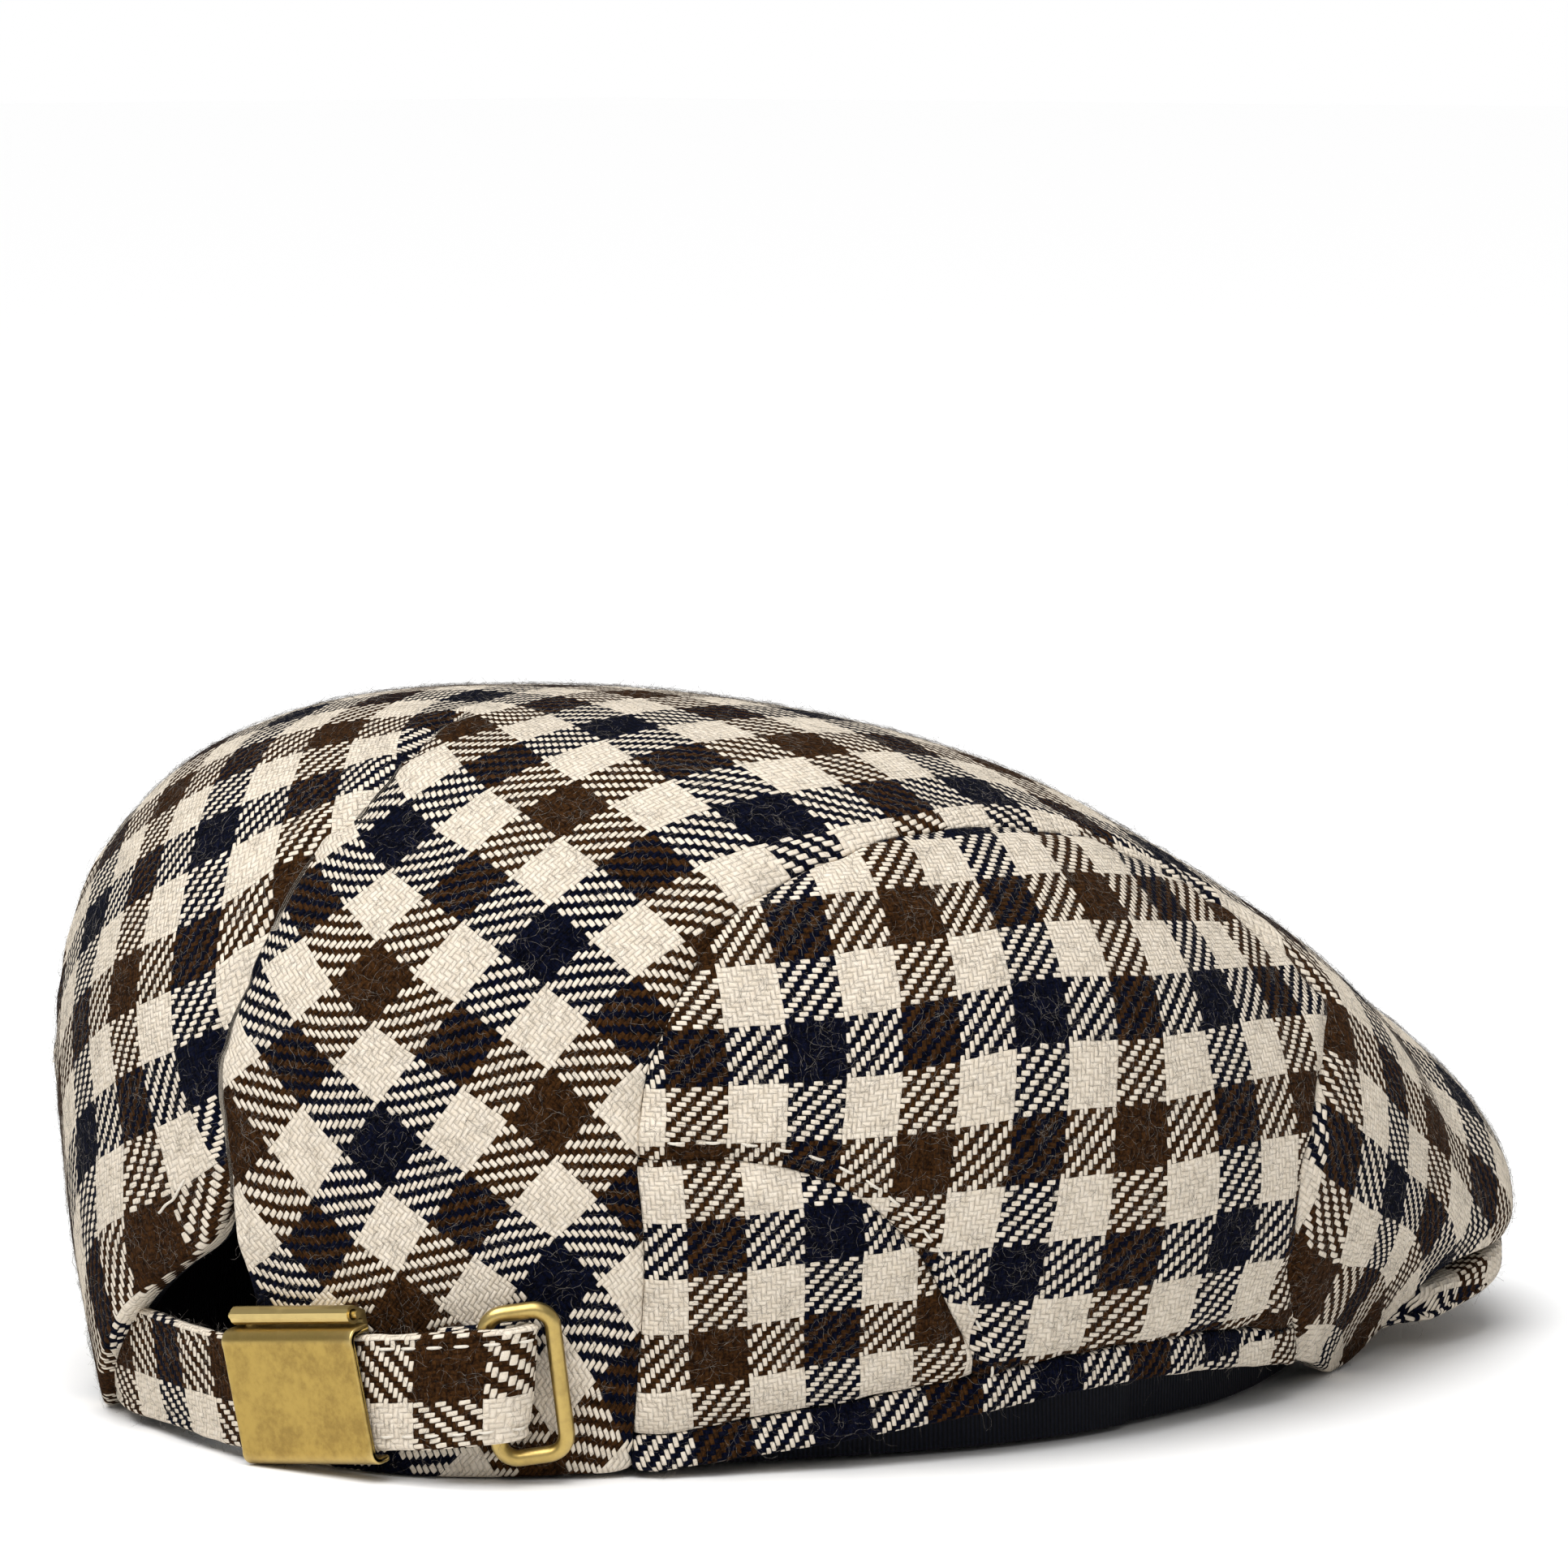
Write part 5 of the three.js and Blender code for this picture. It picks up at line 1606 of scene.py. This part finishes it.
def checked_wool():
    t = Tree("checked wool")
    place = t.object_place()
    on_warp, on_weft = t.pattern_place()
    wander = t.noise(place, 210.0, 3.0, 0.6) - 0.5
    sway = t.noise(place, 260.0, 3.0, 0.6) - 0.5
    u = on_warp * (1 / THREAD) + wander * UNEVEN
    v = on_weft * (1 / THREAD) + sway * UNEVEN

    # The thread on top at each place, and the place along and across its float
    iu, iv = t.math("FLOOR", u), t.math("FLOOR", v)
    fu, fv = u - iu, v - iv
    phase = t.math("FLOORED_MODULO", iu - iv, 4.0)
    warp = phase < 1.5
    weft = 1 - warp
    along = warp * ((1 - phase + fv) / 2) + weft * ((phase - 2 + fu) / 2)
    across = warp * fu + weft * fv
    across = across + (along - 0.5) * THREAD_LEAN
    round_way = 1 - t.math("POWER", t.math("ABSOLUTE", across * 2 - 1), 2.0)
    long_way = 1 - t.math("POWER", t.math("ABSOLUTE", along * 2 - 1), 4.0)
    height = t.math("SQRT", t.math("MAXIMUM", round_way * long_way, 0.0))

    def band_of(number):
        whole_repeat = float(BANDS * THREADS_IN_BAND)
        return t.math("FLOOR", t.math("FLOORED_MODULO", number, whole_repeat) / THREADS_IN_BAND)

    # The colours of that thread and of the one beneath
    band = warp * band_of(iu) + weft * band_of(iv)
    under = weft * band_of(iu) + warp * band_of(iv)
    is_navy, is_brown = band < 0.5, t.math("COMPARE", band, 2.0, 0.5)
    under_navy, under_brown = under < 0.5, t.math("COMPARE", under, 2.0, 0.5)
    which = t.point(iu * warp + iv * weft, warp)
    own = Value(t, t.node("ShaderNodeTexWhiteNoise", {"Vector": which}).outputs[0])
    fibre = t.noise(place, 2600.0, 3.0, 0.7)
    fleck = t.noise(place, 900.0, 4.0, 0.75)
    heather = t.step(fleck * 0.6 + fibre * 0.4, 0.36, 0.66)
    navy, brown, cream = (t.mix(heather, *wool) for wool in (NAVY, BROWN, CREAM))
    colour = t.mix(is_brown, t.mix(is_navy, cream, navy), brown)
    pale = 1 - is_navy - is_brown
    beneath = t.mix(under_brown, navy, brown)
    over_dark = pale * t.math("MINIMUM", under_navy + under_brown, 1.0)
    narrow = (1 - t.step(height, 0.25, 0.62)) * over_dark
    colour = t.mix(narrow * SHOWS_BENEATH, colour, beneath)

    # Painted shade in the crevices between the threads, and each thread a little lighter or darker than
    # the next
    crevice_shade_mask = t.step(height, 0.05, 0.62)
    shade = crevice_shade_mask * (0.45 - pale * 0.27) + (0.55 + pale * 0.27)
    shade = shade * (own * 0.14 + 0.93)
    colour = t.mix(1 - shade, colour, CREVICE_SHADE)

    # Stray hairs lie along the contours of two noises
    contour = t.noise(place, 330.0, 2.0, 0.55, 1.4)
    line = t.math("ABSOLUTE", contour - 0.5)
    hair = 1 - t.step(line, 0.004, 0.016)
    patches = t.step(t.noise(place, 120.0, 2.0), 0.42, 0.62)
    other = t.math("ABSOLUTE", t.noise(place, 470.0, 2.0, 0.5, 1.8) - 0.52)
    hair = t.math("MAXIMUM", hair * patches, (1 - t.step(other, 0.004, 0.014)) * 0.7)
    colour = t.mix(hair * HAIR_SHOWS * (1 - pale * 0.7), colour, STRAY_HAIR)
    t.put(t.shader.inputs["Base Color"], colour)
    fuzz = t.bump(fibre + fleck * 0.7, FUZZ_HIGH, 0.8)
    weave = t.bump(height, WEAVE_HIGH, 1.0, fuzz)
    t.put(t.shader.inputs["Normal"], t.bump(hair, HAIR_HIGH, 0.5, weave))
    t.shader.inputs["Roughness"].default_value = 0.95
    t.shader.inputs["Specular IOR Level"].default_value = 0.02
    t.shader.inputs["Sheen Weight"].default_value = 0.01
    t.shader.inputs["Sheen Roughness"].default_value = 0.5
    return t.material


wool = checked_wool()
for piece in [*(panel.object for panel in panels.values()), peak, strap]:
    piece.data.materials.append(wool)
print("the wool's tree has", len(wool.node_tree.nodes), "nodes")

# %% [markdown]
# The lining is a plain black satin. The brass is old: brown where dirt settles in its corners and
# bright where hands rub its edges, both found from how sharply the surface turns. Scratches could
# be drawn on an image, but the noise needs none and keeps its grain at any distance. The thread,
# the loose fibres and the ribbed tape have each a small tree of their own.

# %% Satin and brass
BRASS, TARNISHED = (0.42, 0.29, 0.078), (0.30, 0.20, 0.056)
WORN_BRASS, BRASS_DIRT = (0.74, 0.58, 0.25), (0.03, 0.022, 0.014)


def satin():
    t = Tree("black satin")
    place = t.object_place()
    colour = t.mix(t.noise(place, 60.0, 3.0), (0.0045, 0.0045, 0.0055), (0.009, 0.009, 0.012))
    t.put(t.shader.inputs["Base Color"], colour)
    t.put(t.shader.inputs["Roughness"], t.noise(place, 900.0, 2.0) * 0.1 + 0.42)
    weave = t.node("ShaderNodeTexWave", {"Vector": place, "Scale": 900.0, "Distortion": 0.6})
    t.put(t.shader.inputs["Normal"], t.bump(Value(t, weave.outputs["Fac"]), 0.00003, 0.6))
    return t.material


def aged_brass():
    t = Tree("aged brass")
    place = t.object_place()
    cloud = t.noise(place, 150.0, 4.0, 0.65)
    fine = t.noise(place, 900.0, 4.0, 0.7)
    tarnish = t.step(cloud * 0.6 + fine * 0.4, 0.4, 0.66)
    colour = t.mix(tarnish, BRASS, TARNISHED)
    edge = t.node("ShaderNodeNewGeometry").outputs["Pointiness"]
    worn = t.step(edge, 0.505, 0.56)
    hollow = 1 - t.step(edge, 0.42, 0.495)
    colour = t.mix(worn * 0.7, colour, WORN_BRASS)
    colour = t.mix(hollow * 0.8, colour, BRASS_DIRT)
    t.put(t.shader.inputs["Base Color"], colour)
    t.shader.inputs["Metallic"].default_value = 1
    t.put(t.shader.inputs["Roughness"], tarnish * 0.12 + 0.28 + fine * 0.08)
    streaks = t.noise(place, 1500.0, 3.0, 0.7)
    t.put(t.shader.inputs["Normal"], t.bump(streaks * 0.4 + cloud, 0.00006, 0.35))
    return t.material


def thread_and_tape():
    """Cream sewing thread, the fibres that stand off the wool, and the ribbed navy tape."""
    t = Tree("sewing thread")
    grain = t.noise(t.object_place(), 3000.0, 3.0, 0.7)
    t.put(t.shader.inputs["Base Color"], t.mix(grain, (0.50, 0.44, 0.35), (0.84, 0.79, 0.70)))
    t.put(t.shader.inputs["Normal"], t.bump(grain, 0.00008, 0.8))
    t.shader.inputs["Roughness"].default_value = 0.85
    thread = t.material

    t = Tree("wool fibre")
    share = t.step(t.noise(t.object_place(), 1400.0, 2.0, 0.6), 0.36, 0.62)
    t.put(t.shader.inputs["Base Color"], t.mix(share, (0.022, 0.016, 0.014), (0.21, 0.187, 0.16)))
    t.shader.inputs["Roughness"].default_value = 0.9
    fibre = t.material

    t = Tree("ribbed tape")
    along, _ = t.pattern_place()
    rib = t.math("SINE", along * (2 * math.pi / TAPE_RIB)) * 0.5 + 0.5
    grain = t.noise(t.object_place(), 1800.0, 3.0, 0.6)
    # Painted shade darkens the grooves between the ribs, and the grain noise varies the tone at random
    colour = t.mix(rib * grain, (0.0012, 0.0014, 0.0030), (0.010, 0.013, 0.026))
    t.put(t.shader.inputs["Base Color"], colour)
    t.put(t.shader.inputs["Normal"], t.bump(rib + grain * 0.3, 0.00022, 0.9))
    t.shader.inputs["Roughness"].default_value = 0.85
    t.shader.inputs["Specular IOR Level"].default_value = 0.2
    return thread, fibre, t.material


black_satin, brass = satin(), aged_brass()
thread, fibre, tape = thread_and_tape()
# The ribbed tape also dresses the dark band that stands in for the shade under the raised hem
for material, pieces in ((thread, [stitching]), (fibre, fibres), (tape, [*bindings, shade_band])):
    for piece in pieces:
        piece.data.materials.append(material)
for piece in lining:
    piece.data.materials.append(black_satin)
for piece in (plate, ring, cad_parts["buckle_frame"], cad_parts["buckle_pin"]):
    piece.data.materials.clear()
    piece.data.materials.append(brass)
print("materials:", ", ".join(m.name for m in (wool, black_satin, brass, thread, fibre, tape)))

# %% [markdown]
# A pale floor and soft light from above, as on a shop's photo table. The floor is bright enough
# to run into the white behind it, and keeps only the soft shadow under the cap. A curved paper
# sweep with lamps on it would do the same, but its bend would show from other sides.

# %% Floor and light


def flat_colour(name, colour, rough):
    t = Tree(name)
    t.shader.inputs["Base Color"].default_value = (*colour, 1)
    t.shader.inputs["Roughness"].default_value = rough
    return t.material


FLOOR_HALF = 14.0
WORLD_AS_LIGHT, WORLD_SEEN = 0.33, 1.0
corners = np.array([(-1, -1, 0), (1, -1, 0), (1, 1, 0), (-1, 1, 0)], float) * FLOOR_HALF
floor = mesh_object("floor", corners, np.array([(0, 1, 2), (0, 2, 3)]), smooth=False)
floor.data.materials.append(flat_colour("paper", (0.94, 0.94, 0.94), 0.8))


def softbox(name, place, size, power, aim=(0, 0, 0.04)):
    """A rectangular light of so many metres and watts, turned to the cap."""
    data = bpy.data.lights.new(name, "AREA")
    data.shape, data.size, data.size_y, data.energy = "RECTANGLE", *size, power
    light = bpy.data.objects.new(name, data)
    light.location = place
    light.rotation_mode = "QUATERNION"
    light.rotation_quaternion = (Vector(aim) - Vector(place)).to_track_quat("-Z", "Y")
    bpy.context.scene.collection.objects.link(light)


softbox("key", (-1.0, 1.0, 1.2), (1.3, 1.0), 8)
softbox("over", (0.3, 0.2, 1.7), (1.6, 1.6), 7)

# One very wide soft light from far above, so that the floor stays white to the horizon
daylight = bpy.data.lights.new("daylight", "SUN")
daylight.energy, daylight.angle = 2.75, math.radians(50)
sky = bpy.data.objects.new("daylight", daylight)
sky.rotation_mode = "QUATERNION"
sky.rotation_quaternion = Vector((0.12, -0.42, -0.9)).to_track_quat("-Z", "Y")
bpy.context.scene.collection.objects.link(sky)

# The white around is seen by the camera, and lights the cap only a little
world = bpy.data.worlds.new("studio")
bpy.context.scene.world = world
world.use_nodes = True
tree = world.node_tree
seen = tree.nodes.new("ShaderNodeLightPath")
strength = tree.nodes.new("ShaderNodeMapRange")
strength.inputs["To Min"].default_value = WORLD_AS_LIGHT
strength.inputs["To Max"].default_value = WORLD_SEEN
tree.links.new(seen.outputs["Is Camera Ray"], strength.inputs["Value"])
tree.links.new(strength.outputs[0], tree.nodes["Background"].inputs["Strength"])
tree.nodes["Background"].inputs["Color"].default_value = (1, 1, 1, 1)
bpy.context.scene.view_settings.view_transform = "Standard"
bpy.context.scene.view_settings.look = "None"
print("lights:", ", ".join(light.name for light in bpy.data.lights))
